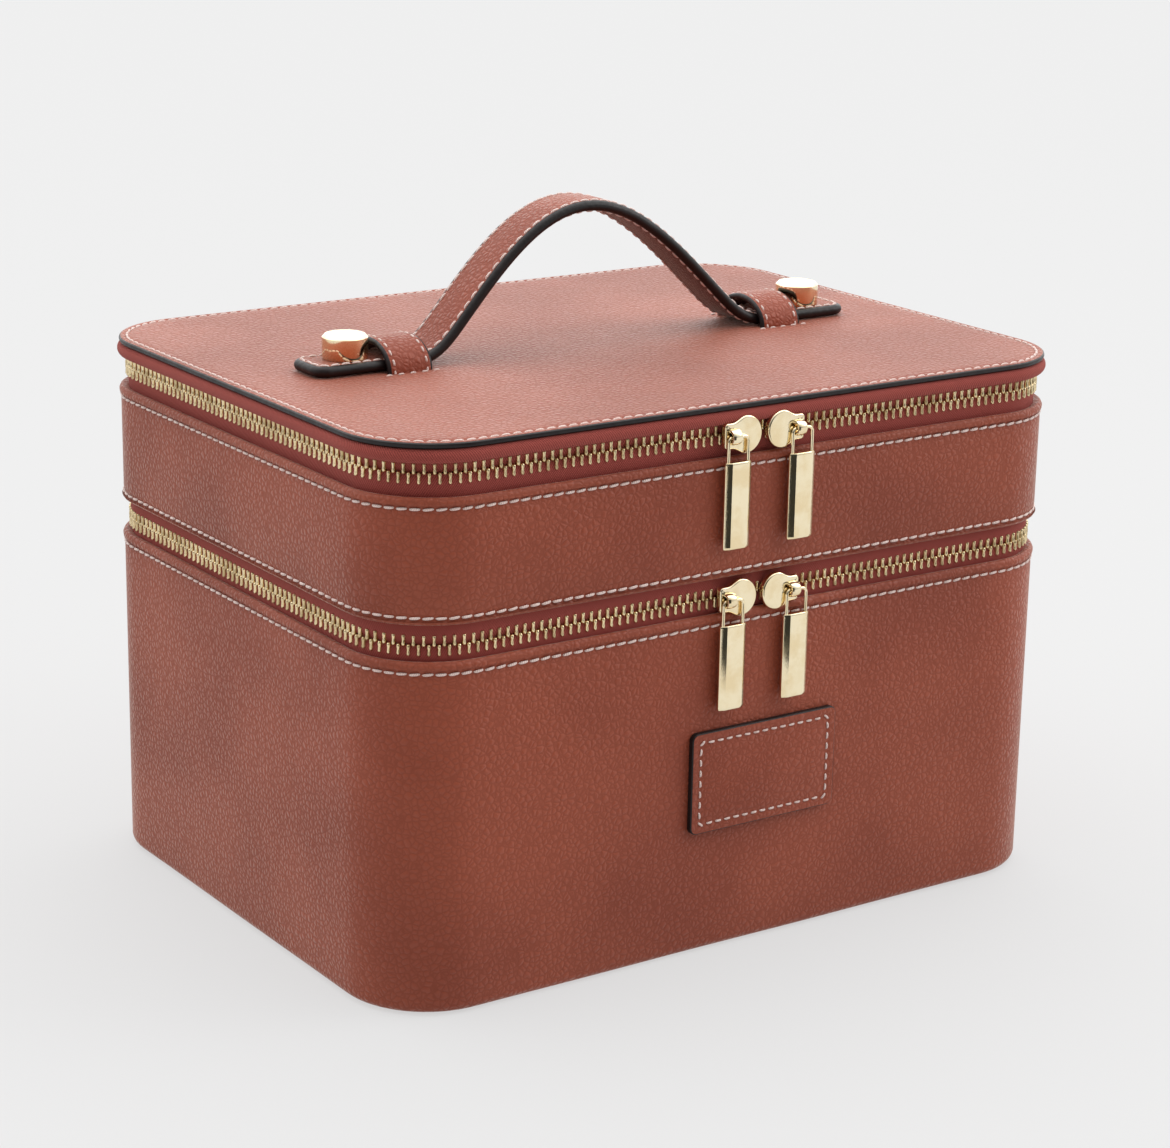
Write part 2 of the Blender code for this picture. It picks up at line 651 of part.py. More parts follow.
def add_crown(slider, name, x, face, zip_z, eye_depth):
    """The loop on the slider's face that the bail swings in."""
    crown_front = face - eye_depth - CROWN_BAR
    eye_half = BAIL_WIRE / 2 + 2 * EYE_PLAY
    crown_half = eye_half + CROWN_BAR
    lap = SLIDER_PLATE / 2
    outline = [
        (face + lap, zip_z - crown_half),
        (crown_front + CROWN_BAR, zip_z - crown_half),
        (crown_front, zip_z - crown_half + CROWN_BAR),
        (crown_front, zip_z + crown_half - CROWN_BAR),
        (crown_front + CROWN_BAR, zip_z + crown_half),
        (face + lap, zip_z + crown_half),
    ]
    ends = (x - CROWN_WIDTH / 2, x + CROWN_WIDTH / 2)
    mesh = prism_mesh(f"{name}_crown", outline, *ends, "X")
    apply_shape(slider, mesh, "UNION", f"{name}_crown")
    eye_outline = rectangle(face - eye_depth, face, zip_z - eye_half, zip_z + eye_half)
    mesh = prism_mesh(f"{name}_eye", eye_outline, ends[0] - CLEAR, ends[1] + CLEAR, "X")
    apply_shape(slider, mesh, "DIFFERENCE", f"{name}_eye")


def build_pull(level, side, x, y, z, parent):
    """A wire bail through the crown's eye, and the bar-shaped tab that it carries."""
    pivot = make_pivot(f"{level}_pull_{side}_pivot", (x, y, z), parent)
    path_width = BAIL_INNER_WIDTH + BAIL_WIRE
    path_height = BAIL_INNER_HEIGHT + BAIL_WIRE
    corner = BAIL_INNER_CORNER + BAIL_WIRE / 2
    curve = bpy.data.curves.new(f"{level}_bail_{side}", "CURVE")
    curve.dimensions = "3D"
    spline = curve.splines.new("POLY")
    points = []
    for across, up, start in ((-1, -1, 180), (1, -1, 270), (1, 1, 0), (-1, 1, 90)):
        centre_x = across * (path_width / 2 - corner)
        centre_z = up * (path_height / 2 - corner) - path_height / 2
        points += arc((centre_x, centre_z), corner, start, start + 90, BAIL_CORNER_SEGMENTS)
    spline.points.add(len(points) - 1)
    for point, (along, up) in zip(spline.points, points):
        point.co = (x + along, y, z + up, 1.0)
    spline.use_cyclic_u = True
    curve.bevel_depth = BAIL_WIRE / 2
    curve.bevel_resolution = 1
    add_object(f"{level}_bail_{side}", curve, "gold", pivot)
    tab_top = z - path_height + PULL_SOCKET_DEPTH - BAIL_WIRE / 2 - CLEAR
    half = PULL_TAB_WIDTH / 2
    depth = PULL_TAB_THICKNESS / 2
    outline = rectangle(x - half, x + half, tab_top - PULL_TAB_LENGTH, tab_top)
    tab = prism(f"{level}_pull_tab_{side}", "gold", outline, y - depth, y + depth, "Y", pivot)
    bevel = tab.modifiers.new("Edges", "BEVEL")
    bevel.width = PULL_TAB_EDGE
    bevel.segments = 1
    socket_half = BAIL_INNER_WIDTH / 2 + BAIL_WIRE + CLEAR / 2
    wall = BAIL_WIRE / 2 + CLEAR / 2
    socket_bottom = tab_top - PULL_SOCKET_DEPTH
    socket = rectangle(x - socket_half, x + socket_half, socket_bottom, tab_top + CLEAR)
    mesh = prism_mesh(f"{level}_socket_{side}", socket, y - wall, y + wall, "Y")
    apply_shape(tab, mesh, "DIFFERENCE", f"{level}_socket_{side}")


def main():
    back = CASE_DEPTH / 2
    build_lower_case()
    tier_pivot = make_pivot("tier_hinge_pivot", (0, back, lower_zip_z))
    build_tier(tier_pivot)
    lid_pivot = make_pivot("lid_hinge_pivot", (0, back, upper_zip_z), tier_pivot)
    build_lid(lid_pivot)
    build_handle_strap(lid_pivot)
    for side, sign in (("left", -1), ("right", 1)):
        build_keeper(side, sign, lid_pivot)
        build_handle_end(side, sign, lid_pivot)
        build_slider("lower", side, sign, lower_zip_z, None)
        build_slider("upper", side, sign, upper_zip_z, tier_pivot)


clear_scene()
parts = new_collection("jewellery_case")
helpers = new_collection("helpers")
materials = {name: make_material(name) for name in COLOURS}
pivot_places = {}
main()
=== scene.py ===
import math

import bmesh
import bpy
from mathutils import Matrix, Vector, noise


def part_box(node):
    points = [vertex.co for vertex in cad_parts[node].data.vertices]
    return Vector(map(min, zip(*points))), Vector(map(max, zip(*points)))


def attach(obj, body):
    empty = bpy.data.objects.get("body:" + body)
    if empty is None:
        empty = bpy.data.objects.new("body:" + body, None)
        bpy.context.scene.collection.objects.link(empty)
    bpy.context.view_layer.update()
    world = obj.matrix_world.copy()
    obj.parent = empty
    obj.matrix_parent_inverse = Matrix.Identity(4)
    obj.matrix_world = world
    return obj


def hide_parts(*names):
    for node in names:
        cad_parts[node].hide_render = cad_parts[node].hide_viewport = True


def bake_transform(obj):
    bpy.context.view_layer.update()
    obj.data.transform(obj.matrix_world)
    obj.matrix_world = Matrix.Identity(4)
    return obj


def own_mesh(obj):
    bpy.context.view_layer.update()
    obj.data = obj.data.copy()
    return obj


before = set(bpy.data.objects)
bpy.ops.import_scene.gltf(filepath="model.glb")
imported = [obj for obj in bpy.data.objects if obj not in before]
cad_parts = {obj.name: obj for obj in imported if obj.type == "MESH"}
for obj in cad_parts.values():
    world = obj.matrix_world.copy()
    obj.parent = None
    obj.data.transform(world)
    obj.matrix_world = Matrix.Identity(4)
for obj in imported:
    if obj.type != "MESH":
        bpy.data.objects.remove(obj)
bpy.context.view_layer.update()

MM = 0.001

# The case's outline. Heights and depths come from the CAD nodes' own boxes.
CORNER_RADIUS = 28 * MM
CORNER_STEPS = 16
STRAIGHT_STEP = 6 * MM
ZIP_GAP = 162 * MM  # opening in each zip at the back
WALL = 2.4 * MM  # leather with its foam
PUFF = 0.5 * MM  # how far the sewn rims stand out
SOFTNESS = 0.22 * MM  # slow unevenness of the leather walls
SOFTNESS_LENGTH = 45 * MM

# Sewing
STITCH_PITCH = 3.75 * MM
STITCH_LENGTH = 3.25 * MM
STITCH_WIDTH = 0.85 * MM
STITCH_SLANT = math.radians(5)
FINE_PITCH = 3.4 * MM
FINE_LENGTH = 2.2 * MM

# Zips
TOOTH_PITCH = 2.83 * MM
TOOTH_WIDTH = 1.12 * MM
TOOTH_LENGTH = 3.35 * MM
TOOTH_DEPTH = 2.2 * MM
TOOTH_INSET = 1.5 * MM
TOOTH_LAP = 0.3 * MM
TAPE_THICKNESS = 0.8 * MM
TAPE_OVERLAP = 4 * MM  # how far the tapes' ends tuck in behind the back hinge

# Handle
STRAP_THICKNESS = 3.3 * MM
ARCH_FULLNESS = 1.1  # below this the arch is rounder, above it more pointed
ARCH_LEAN = 3.5 * MM  # how far the arch's top stands to the left
ARCH_EASING = 9  # how many times the arch's path is smoothed, for soft bends at its feet
ARCH_FLAT_FOOT = 3.0 * MM
ARCH_INSIDE_KEEPER = 2.0 * MM
STITCH_FROM_EDGE = 2.2 * MM
KEEPER_THICKNESS = 1.9 * MM
KEEPER_HALF = 11.6 * MM  # from the strap's middle line to where a keeper goes down into the lid
KEEPER_FOOT = 3 * MM  # how far it goes down
STRAP_END_CORNER = 5 * MM

# Sliders and pulls
SLIDER_NOSE = 5.7 * MM  # half heights of the front plate
SLIDER_TAIL = 3.9 * MM
SLIDER_RAISE = 1.7 * MM
SLIDER_REAR = 3.6 * MM  # from the front plate's back to the rear plate
CROWN_SHIFT = 4.0 * MM
BAIL_CORNER = 1.55 * MM
TAB_BEVEL = 1.9 * MM
TAB_EDGE = 0.75 * MM

# Small round corners
PATCH_CORNER = 2.2 * MM
MIRROR_CORNER = 8 * MM
MIRROR_FRAME_CORNER = 13.3 * MM

# Ring rolls, blown up as cloth
ROLL_SHRINK = 0.7 * MM
ROLL_VOXEL = 2.5 * MM
ROLL_HELD = 1.5 * MM  # height of the foot that stays in place
ROLL_PRESSURE = 4.0
ROLL_STIFFNESS = 40
ROLL_BENDING = 4
ROLL_FRAMES = 20
ROLL_MOVE = 0.9 * MM  # the furthest that a point may move

# Studio
ROOM_WALL = 0.62  # brightness of the room level with the case
ROOM_BACK = 1.0  # how much brighter it is low behind the case
ROOM_TOP = 2.15  # how much brighter it is straight overhead
FLOOR_HALF = 80.0  # metres
FLOOR_PALENESS = 0.175
FLOOR_GLOW = 0.58
ROOM_FRONT = (-0.55, -0.80, 0.22)  # the way from the case to the darker side of the room
CARD = (-0.13, 0.08, -0.36, 0.24)  # left, right, place along Y, height, in metres
KEY_PLACE = (0.95, -0.6, 0.75)
KEY_AIM = (0, 0, 0.1)
KEY_SIZE = 0.5
KEY_POWER = 2.4

# Camera: place in metres, turns in degrees
CAMERA_PLACE = (-0.5238, -0.7698, 0.3670)
CAMERA_YAW = 34.385
CAMERA_PITCH = 16.390
CAMERA_ROLL = 1.040
CAMERA_LENS = 92.29

STRAP_LOOKS = ["leather", "edge", "leather_under"]  # face, painted edges, back
BODIES_AT_ZIP = {"lower": ("lower_case", "upper_tier"), "upper": ("upper_tier", "lid")}  # below, above


# ---------------------------------------------------------------- materials


def add(tree, kind, values=None, **settings):
    """One node. Each value is a number or colour for a socket, or another node's output to link to it."""
    node = tree.nodes.new(kind)
    for key, value in settings.items():
        setattr(node, key, value)
    for label, value in (values or {}).items():
        if isinstance(value, bpy.types.NodeSocket):
            tree.links.new(value, node.inputs[label])
        else:
            node.inputs[label].default_value = value
    return node


def sums(tree, operation, first, second, third=0.0):
    node = add(tree, "ShaderNodeMath", {0: first, 1: second, 2: third}, operation=operation)
    return node.outputs[0]


def vectors(tree, operation, values):
    node = add(tree, "ShaderNodeVectorMath", values, operation=operation)
    return node.outputs["Value" if operation in ("DOT_PRODUCT", "LENGTH") else "Vector"]


def ramp(tree, value, low, high, to_low=0.0, to_high=1.0):
    values = {"Value": value, "From Min": low, "From Max": high, "To Min": to_low, "To Max": to_high}
    return add(tree, "ShaderNodeMapRange", values, interpolation_type="SMOOTHSTEP").outputs[0]


def mix(tree, factor, first, second):
    node = add(tree, "ShaderNodeMix", data_type="RGBA")
    for socket, value in ((node.inputs[0], factor), (node.inputs[6], first), (node.inputs[7], second)):
        if isinstance(value, bpy.types.NodeSocket):
            tree.links.new(value, socket)
        else:
            socket.default_value = value
    return node.outputs[2]


def noise_texture(tree, place, scale, detail=2.0, distortion=0.0):
    values = {"Vector": place, "Scale": scale, "Detail": detail, "Distortion": distortion}
    return add(tree, "ShaderNodeTexNoise", values)


def new_group(name, inputs, outputs):
    """An empty shader node group, with its two end nodes. Inputs are (name, type, default)."""
    tree = bpy.data.node_groups.new(name, "ShaderNodeTree")
    for label, kind, value in inputs:
        socket = tree.interface.new_socket(label, in_out="INPUT", socket_type="NodeSocket" + kind)
        if value is not None:
            socket.default_value = value
    for label, kind in outputs:
        tree.interface.new_socket(label, in_out="OUTPUT", socket_type="NodeSocket" + kind)
    return tree, tree.nodes.new("NodeGroupInput"), tree.nodes.new("NodeGroupOutput")


def connect(tree, end, **outputs):
    for label, socket in outputs.items():
        tree.links.new(socket, end.inputs[label.replace("_", " ")])


def make_grain_group():
    """Pebbled leather: rounded cells with soft creases between them, and fine pores."""
    tree, start, end = new_group(
        "Pebbled grain",
        [("Vector", "Vector", None), ("Cell", "Float", 1.8 * MM), ("Pores", "Float", 0.25)],
        [("Height", "Float"), ("Crease", "Float"), ("Tone", "Float")],
    )
    per_cell = sums(tree, "DIVIDE", 1.0, start.outputs["Cell"])
    scaled = vectors(tree, "SCALE", {0: start.outputs["Vector"], "Scale": per_cell})
    bend = noise_texture(tree, scaled, 0.7, 1.0)
    shift = vectors(tree, "SUBTRACT", {0: bend.outputs["Color"], 1: (0.5, 0.5, 0.5)})
    warped = vectors(tree, "MULTIPLY_ADD", {0: shift, 1: (0.6, 0.6, 0.6), 2: scaled})
    place = {"Vector": warped, "Scale": 1.0}
    edges = add(tree, "ShaderNodeTexVoronoi", place, feature="DISTANCE_TO_EDGE")
    cells = add(tree, "ShaderNodeTexVoronoi", place)
    plateau = ramp(tree, edges.outputs["Distance"], 0.0, 0.45)
    dome = ramp(tree, cells.outputs["Distance"], 0.0, 0.9, 1.0, 0.0)
    pores = noise_texture(tree, scaled, 5.0)
    fine = sums(tree, "MULTIPLY", pores.outputs["Fac"], start.outputs["Pores"])
    height = sums(tree, "MULTIPLY_ADD", plateau, 0.65, fine)
    height = sums(tree, "MULTIPLY_ADD", dome, 0.35, height)
    crease = ramp(tree, edges.outputs["Distance"], 0.0, 0.2, 1.0, 0.0)
    tone = add(tree, "ShaderNodeSeparateColor", {"Color": cells.outputs["Color"]}).outputs[0]
    connect(tree, end, Height=height, Crease=crease, Tone=tone)
    return tree


def make_weave_group():
    """Tape: slanted ribs of a twill, crossed by finer yarn."""
    tree, start, end = new_group(
        "Twill tape",
        [("Vector", "Vector", None), ("Pitch", "Float", 0.75 * MM)],
        [("Height", "Float"), ("Shade", "Float")],
    )
    per_rib = sums(tree, "DIVIDE", math.tau, start.outputs["Pitch"])
    parts = add(tree, "ShaderNodeSeparateXYZ", {"Vector": start.outputs["Vector"]})
    slanted = sums(tree, "MULTIPLY_ADD", parts.outputs["Y"], 0.7, parts.outputs["X"])
    rib = sums(tree, "SINE", sums(tree, "MULTIPLY", slanted, per_rib), 0.0)
    crossed = sums(tree, "MULTIPLY_ADD", parts.outputs["X"], -0.6, parts.outputs["Y"])
    yarn = sums(tree, "SINE", sums(tree, "MULTIPLY", crossed, sums(tree, "MULTIPLY", per_rib, 1.9)), 0.0)
    height = sums(tree, "MULTIPLY_ADD", yarn, 0.18, sums(tree, "MULTIPLY_ADD", rib, 0.32, 0.5))
    fuzz = noise_texture(tree, start.outputs["Vector"], 1 / (0.35 * MM))
    shade = sums(tree, "MULTIPLY_ADD", fuzz.outputs["Fac"], 0.35, sums(tree, "MULTIPLY", height, 0.75))
    connect(tree, end, Height=height, Shade=shade)
    return tree


def make_nap_group():
    """Microsuede: very fine fuzz, brushed into slow lighter and darker strokes."""
    tree, start, end = new_group(
        "Suede nap",
        [("Vector", "Vector", None), ("Strokes", "Float", 14 * MM)],
        [("Height", "Float"), ("Stroke", "Float")],
    )
    per_stroke = sums(tree, "DIVIDE", 1.0, start.outputs["Strokes"])
    fuzz = noise_texture(tree, start.outputs["Vector"], 1 / (0.25 * MM), 3.0)
    slow = vectors(tree, "SCALE", {0: start.outputs["Vector"], "Scale": per_stroke})
    strokes = noise_texture(tree, slow, 1.0, distortion=1.2)
    connect(tree, end, Height=fuzz.outputs["Fac"], Stroke=ramp(tree, strokes.outputs["Fac"], 0.35, 0.65))
    return tree


def make_handling_group():
    """Metal: fine scratches in all directions and slow smears from handling."""
    tree, start, end = new_group(
        "Handling marks",
        [("Vector", "Vector", None), ("Smear", "Float", 6 * MM)],
        [("Height", "Float"), ("Smear", "Float")],
    )
    lines = vectors(tree, "MULTIPLY", {0: start.outputs["Vector"], 1: (9000.0, 9000.0, 900.0)})
    scratches = noise_texture(tree, lines, 1.0)
    per_smear = sums(tree, "DIVIDE", 1.0, start.outputs["Smear"])
    slow = vectors(tree, "SCALE", {0: start.outputs["Vector"], "Scale": per_smear})
    smears = noise_texture(tree, slow, 1.0, 3.0)
    connect(tree, end, Height=scratches.outputs["Fac"], Smear=smears.outputs["Fac"])
    return tree


def make_twist_group():
    """Thread: slanted strands along a stitch, read from its own map."""
    tree, start, end = new_group(
        "Twisted thread",
        [("Vector", "Vector", None), ("Turns", "Float", 5.0)],
        [("Height", "Float"), ("Shade", "Float")],
    )
    parts = add(tree, "ShaderNodeSeparateXYZ", {"Vector": start.outputs["Vector"]})
    along = sums(tree, "MULTIPLY", parts.outputs["X"], start.outputs["Turns"])
    turned = sums(tree, "ADD", along, sums(tree, "MULTIPLY", parts.outputs["Y"], 2.0))
    phase = sums(tree, "MULTIPLY", turned, math.tau)
    strand = sums(tree, "MULTIPLY_ADD", sums(tree, "SINE", phase, 0.0), 0.5, 0.5)
    connect(tree, end, Height=strand, Shade=strand)
    return tree


groups = {
    "grain": make_grain_group(),
    "weave": make_weave_group(),
    "nap": make_nap_group(),
    "handling": make_handling_group(),
    "twist": make_twist_group(),
}


def new_material(name, **settings):
    """A material with one shader, its plain settings given by socket name with _ for a space."""
    material = bpy.data.materials.new(name)
    material.use_nodes = True
    tree = material.node_tree
    shader = tree.nodes["Principled BSDF"]
    for label, value in settings.items():
        shader.inputs[label.replace("_", " ")].default_value = value
    return material, tree, shader


def use_group(tree, name, values):
    return add(tree, "ShaderNodeGroup", values, node_tree=groups[name])


def object_place(tree):
    return tree.nodes.new("ShaderNodeTexCoord").outputs["Object"]


def own_map(tree):
    return tree.nodes.new("ShaderNodeTexCoord").outputs["UV"]


def bump(tree, shader, height, depth):
    node = add(tree, "ShaderNodeBump", {"Height": height, "Distance": depth, "Strength": 1.0})
    tree.links.new(node.outputs["Normal"], shader.inputs["Normal"])


def leather(name, light, dark, cell, depth, roughness=0.46):
    """Dyed leather in slow clouds of two tones, darker and rougher in the creases of its grain."""
    material, tree, shader = new_material(
        name, Specular_IOR_Level=0.34, Sheen_Weight=0.36, Sheen_Roughness=0.33, Sheen_Tint=(1.0, 0.9, 0.8, 1)
    )
    place = object_place(tree)
    grain = use_group(tree, "grain", {"Vector": place, "Cell": cell})
    cloud = ramp(tree, noise_texture(tree, place, 16.0).outputs["Fac"], 0.3, 0.7)
    base = mix(tree, cloud, (*dark, 1), (*light, 1))
    toned = mix(tree, sums(tree, "MULTIPLY", grain.outputs["Tone"], 0.12), base, (*dark, 1))
    crease = [part * 0.45 for part in dark]
    shade = sums(tree, "MULTIPLY", grain.outputs["Crease"], 0.24)
    tree.links.new(mix(tree, shade, toned, (*crease, 1)), shader.inputs["Base Color"])
    rough = sums(tree, "MULTIPLY_ADD", grain.outputs["Crease"], 0.22, roughness)
    tree.links.new(sums(tree, "MULTIPLY_ADD", cloud, -0.05, rough), shader.inputs["Roughness"])
    bump(tree, shader, grain.outputs["Height"], depth)
    return material


def edge_paint():
    """The dark paint on the leather's cut edges, with a faint gloss."""
    material, tree, shader = new_material(
        "edge paint", Specular_IOR_Level=0.3, Coat_Weight=0.08, Coat_Roughness=0.25
    )
    place = object_place(tree)
    lumps = noise_texture(tree, place, 700.0, 3.0).outputs["Fac"]
    streaks = ramp(tree, noise_texture(tree, place, 60.0, 4.0).outputs["Fac"], 0.3, 0.7)
    colour = mix(tree, streaks, (0.006, 0.005, 0.005, 1), (0.014, 0.009, 0.009, 1))
    tree.links.new(colour, shader.inputs["Base Color"])
    tree.links.new(ramp(tree, lumps, 0.2, 0.8, 0.32, 0.55), shader.inputs["Roughness"])
    bump(tree, shader, lumps, 0.12 * MM)
    return material


def tape():
    material, tree, shader = new_material(
        "zip tape", Sheen_Weight=0.12, Roughness=0.8, Specular_IOR_Level=0.15, Sheen_Tint=(1.0, 0.6, 0.55, 1)
    )
    weave = use_group(tree, "weave", {"Vector": own_map(tree)})
    colour = mix(tree, weave.outputs["Shade"], (0.12, 0.020, 0.016, 1), (0.46, 0.095, 0.075, 1))
    tree.links.new(colour, shader.inputs["Base Color"])
    bump(tree, shader, weave.outputs["Height"], 0.16 * MM)
    return material


def suede(name, light, dark):
    material, tree, shader = new_material(name, Sheen_Weight=0.45, Sheen_Roughness=0.45, Roughness=0.92)
    place = object_place(tree)
    nap = use_group(tree, "nap", {"Vector": place})
    stroke = sums(tree, "MULTIPLY", nap.outputs["Stroke"], 0.6)
    speck = sums(tree, "MULTIPLY_ADD", nap.outputs["Height"], 0.35, stroke)
    tree.links.new(mix(tree, speck, (*dark, 1), (*light, 1)), shader.inputs["Base Color"])
    bump(tree, shader, nap.outputs["Height"], 0.12 * MM)
    return material


def metal(name, bright, dull, smooth, rough):
    material, tree, shader = new_material(name, Metallic=1.0)
    marks = use_group(tree, "handling", {"Vector": object_place(tree)})
    smear = ramp(tree, marks.outputs["Smear"], 0.35, 0.7)
    tree.links.new(mix(tree, smear, (*bright, 1), (*dull, 1)), shader.inputs["Base Color"])
    roughness = sums(tree, "MULTIPLY_ADD", smear, rough - smooth, smooth)
    tree.links.new(roughness, shader.inputs["Roughness"])
    bump(tree, shader, marks.outputs["Height"], 0.01 * MM)
    return material


def mirror_glass():
    material, tree, shader = new_material("mirror glass", Metallic=1.0, Base_Color=(0.88, 0.9, 0.9, 1))
    marks = use_group(tree, "handling", {"Vector": object_place(tree), "Smear": 30 * MM})
    tree.links.new(ramp(tree, marks.outputs["Smear"], 0.4, 0.8, 0.015, 0.06), shader.inputs["Roughness"])
    return material


def thread():
    material, tree, shader = new_material("waxed thread", Sheen_Weight=0.2, Roughness=0.62)
    twist = use_group(tree, "twist", {"Vector": own_map(tree)})
    age = noise_texture(tree, object_place(tree), 180.0, 1.0)
    pale = mix(tree, age.outputs["Fac"], (0.78, 0.56, 0.50, 1), (0.95, 0.80, 0.74, 1))
    shade = sums(tree, "MULTIPLY_ADD", twist.outputs["Shade"], -0.3, 0.3)
    tree.links.new(mix(tree, shade, pale, (0.40, 0.24, 0.20, 1)), shader.inputs["Base Color"])
    bump(tree, shader, twist.outputs["Height"], 0.12 * MM)
    return material


def fibre_board():
    material, tree, shader = new_material("fibre board", Roughness=0.9)
    place = object_place(tree)
    fibres = vectors(tree, "MULTIPLY", {0: place, 1: (400.0, 2500.0, 400.0)})
    streaks = noise_texture(tree, fibres, 1.0, 4.0)
    colour = mix(tree, streaks.outputs["Fac"], (0.30, 0.21, 0.13, 1), (0.52, 0.40, 0.27, 1))
    tree.links.new(colour, shader.inputs["Base Color"])
    bump(tree, shader, streaks.outputs["Fac"], 0.1 * MM)
    return material


def floor_paper():
    material, tree, shader = new_material(
        "studio paper", Roughness=0.9, Specular_IOR_Level=0.0, Emission_Strength=FLOOR_GLOW
    )
    tooth = noise_texture(tree, object_place(tree), 900.0)
    level = FLOOR_PALENESS
    pale = (level + 0.006, level + 0.006, level + 0.006, 1)
    colour = mix(tree, tooth.outputs["Fac"], (level, level, level, 1), pale)
    tree.links.new(colour, shader.inputs["Base Color"])
    shader.inputs["Emission Color"].default_value = (1, 1, 1, 1)
    return material


looks = {
    "leather": leather("tan leather", (0.325, 0.068, 0.031), (0.245, 0.046, 0.020), 1.8 * MM, 0.22 * MM),
    "leather_under": leather(
        "split leather", (0.155, 0.048, 0.032), (0.105, 0.030, 0.02), 1.2 * MM, 0.1 * MM, 0.6
    ),
    "edge": edge_paint(),
    "tape": tape(),
    "suede": suede("suede lining", (0.40, 0.235, 0.155), (0.29, 0.16, 0.10)),
    "gold": metal("pale gold", (0.95, 0.83, 0.58), (0.88, 0.72, 0.45), 0.06, 0.12),
    "teeth": metal("champagne gold", (0.86, 0.70, 0.43), (0.60, 0.46, 0.25), 0.18, 0.34),
    "mirror": mirror_glass(),
    "thread": thread(),
    "board": fibre_board(),
}


# ---------------------------------------------------------------- shapes


def finish_piece(name, bm, materials, body=None, replaces=()):
    """Turns a mesh into a smooth-shaded piece that rides on its body and stands for its CAD nodes."""
    bmesh.ops.remove_doubles(bm, verts=list(bm.verts), dist=0.002 * MM)
    bmesh.ops.recalc_face_normals(bm, faces=list(bm.faces))
    mesh = bpy.data.meshes.new(name)
    bm.to_mesh(mesh)
    bm.free()
    mesh.shade_smooth()
    mesh.set_sharp_from_angle(angle=math.radians(38))
    for key in materials:
        mesh.materials.append(looks[key])
    return place_piece(name, mesh, body, replaces)


def place_piece(name, mesh, body, replaces=()):
    piece = bpy.data.objects.new(name, mesh)
    bpy.context.scene.collection.objects.link(piece)
    if body:
        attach(piece, body)
    if replaces:
        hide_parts(*replaces)
    return piece


def direction(degrees):
    return Vector((math.cos(math.radians(degrees)), math.sin(math.radians(degrees))))


def outline_places(half_x, half_y, radius, start_x=0.0, corner_steps=CORNER_STEPS, step=STRAIGHT_STEP):
    """Places round a rounded rectangle from the middle of its back: point, outward normal, distance."""
    places = []
    spot = Vector((-start_x, half_y))
    for across, forward, start in ((-1, 1, 90), (-1, -1, 180), (1, -1, 270), (1, 1, 0)):
        centre = Vector((across * (half_x - radius), forward * (half_y - radius)))
        corner = centre + radius * direction(start)
        steps = max(1, round((corner - spot).length / step))
        places += [(spot.lerp(corner, n / steps), direction(start)) for n in range(steps)]
        for n in range(corner_steps):
            normal = direction(start + 90 * n / corner_steps)
            places.append((centre + radius * normal, normal))
        spot = centre + radius * direction(start + 90)
    end = Vector((start_x, half_y))
    steps = max(1, round((end - spot).length / step))
    last = steps + (1 if start_x else 0)
    places += [(spot.lerp(end, n / steps), direction(90)) for n in range(last)]
    return with_distance(places)


def with_distance(places):
    """Adds to each place its distance along the line, and drops one that repeats the last."""
    result = []
    travelled = 0.0
    for point, normal in places:
        if result:
            gap = (point - result[-1][0]).length
            if gap < 0.01 * MM:
                continue
            travelled += gap
        result.append((point, normal, travelled))
    return result


def case_places(start_x=0.0):
    low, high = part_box("lid_top_leather")
    return outline_places(high.x, high.y, CORNER_RADIUS, start_x)


def softened(point, z, amount):
    """Slow unevenness, so that a wall of leather doesn't look machined."""
    return amount * noise.noise(Vector((point.x, point.y, z)) / SOFTNESS_LENGTH)


def kept_inside(point, normal, depth, half):
    """A point moved in from a rounded outline, held within the straight sides when the corner is tighter."""
    x = point.x - normal.x * depth
    y = point.y - normal.y * depth
    if half and depth > 0:
        x = max(depth - half[0], min(half[0] - depth, x))
        y = max(depth - half[1], min(half[1] - depth, y))
    return x, y


def runs_round(points):
    """Distances round a closed row of points, ending at the first point again."""
    runs = [0.0]
    for first, second in zip(points, points[1:] + points[:1]):
        runs.append(runs[-1] + math.dist(first, second))
    return runs


def skin(bm, rings, along=None, runs=None, closed_path=False, closed_profile=True, keys=None):
    """Faces between neighbouring rings, mapped by the distances along and round where they are given.

    A closed profile on an open path gets an end face on its first and last rings.
    """
    map_layer = bm.loops.layers.uv.verify() if along else None
    sides = len(rings[0])
    for i in range(len(rings) if closed_path else len(rings) - 1):
        here, there = rings[i], rings[(i + 1) % len(rings)]
        for j in range(sides if closed_profile else sides - 1):
            k = (j + 1) % sides
            face = bm.faces.new((here[j], there[j], there[k], here[k]))
            if keys:
                face.material_index = keys[j]
            if along:
                corners = ((i, j), (i + 1, j), (i + 1, j + 1), (i, j + 1))
                for loop, (a, b) in zip(face.loops, corners):
                    loop[map_layer].uv = (along[a], runs[b])
    if closed_profile and not closed_path:
        bm.faces.new(rings[0])
        bm.faces.new(rings[-1])


def sweep(bm, places, profile, closed_path=True, closed_profile=True, keys=None, soft=0.0, half=None):
    """Carries a profile of (depth in from the outline, height) round a line of places."""
    rings = []
    for point, normal, _ in places:
        ring = []
        for inset, z in profile:
            depth = inset + softened(point, z, soft)
            ring.append(bm.verts.new((*kept_inside(point, normal, depth, half), z)))
        rings.append(ring)
    along = [travelled for _, _, travelled in places]
    along.append(along[-1] + (places[0][0] - places[-1][0]).length)
    skin(bm, rings, along, runs_round(profile), closed_path, closed_profile, keys)
    return rings


def close_ends(bm, rings):
    """Flat faces across the first and the last points of a swept edge."""
    return [bm.faces.new([ring[end] for ring in rings]) for end in (0, -1)]


def arc(centre, radius, start, end, steps):
    """Points (a, b) along a round edge, with its angles in degrees."""
    return [
        tuple(Vector(centre) + radius * direction(start + (end - start) * n / steps))
        for n in range(steps + 1)
    ]


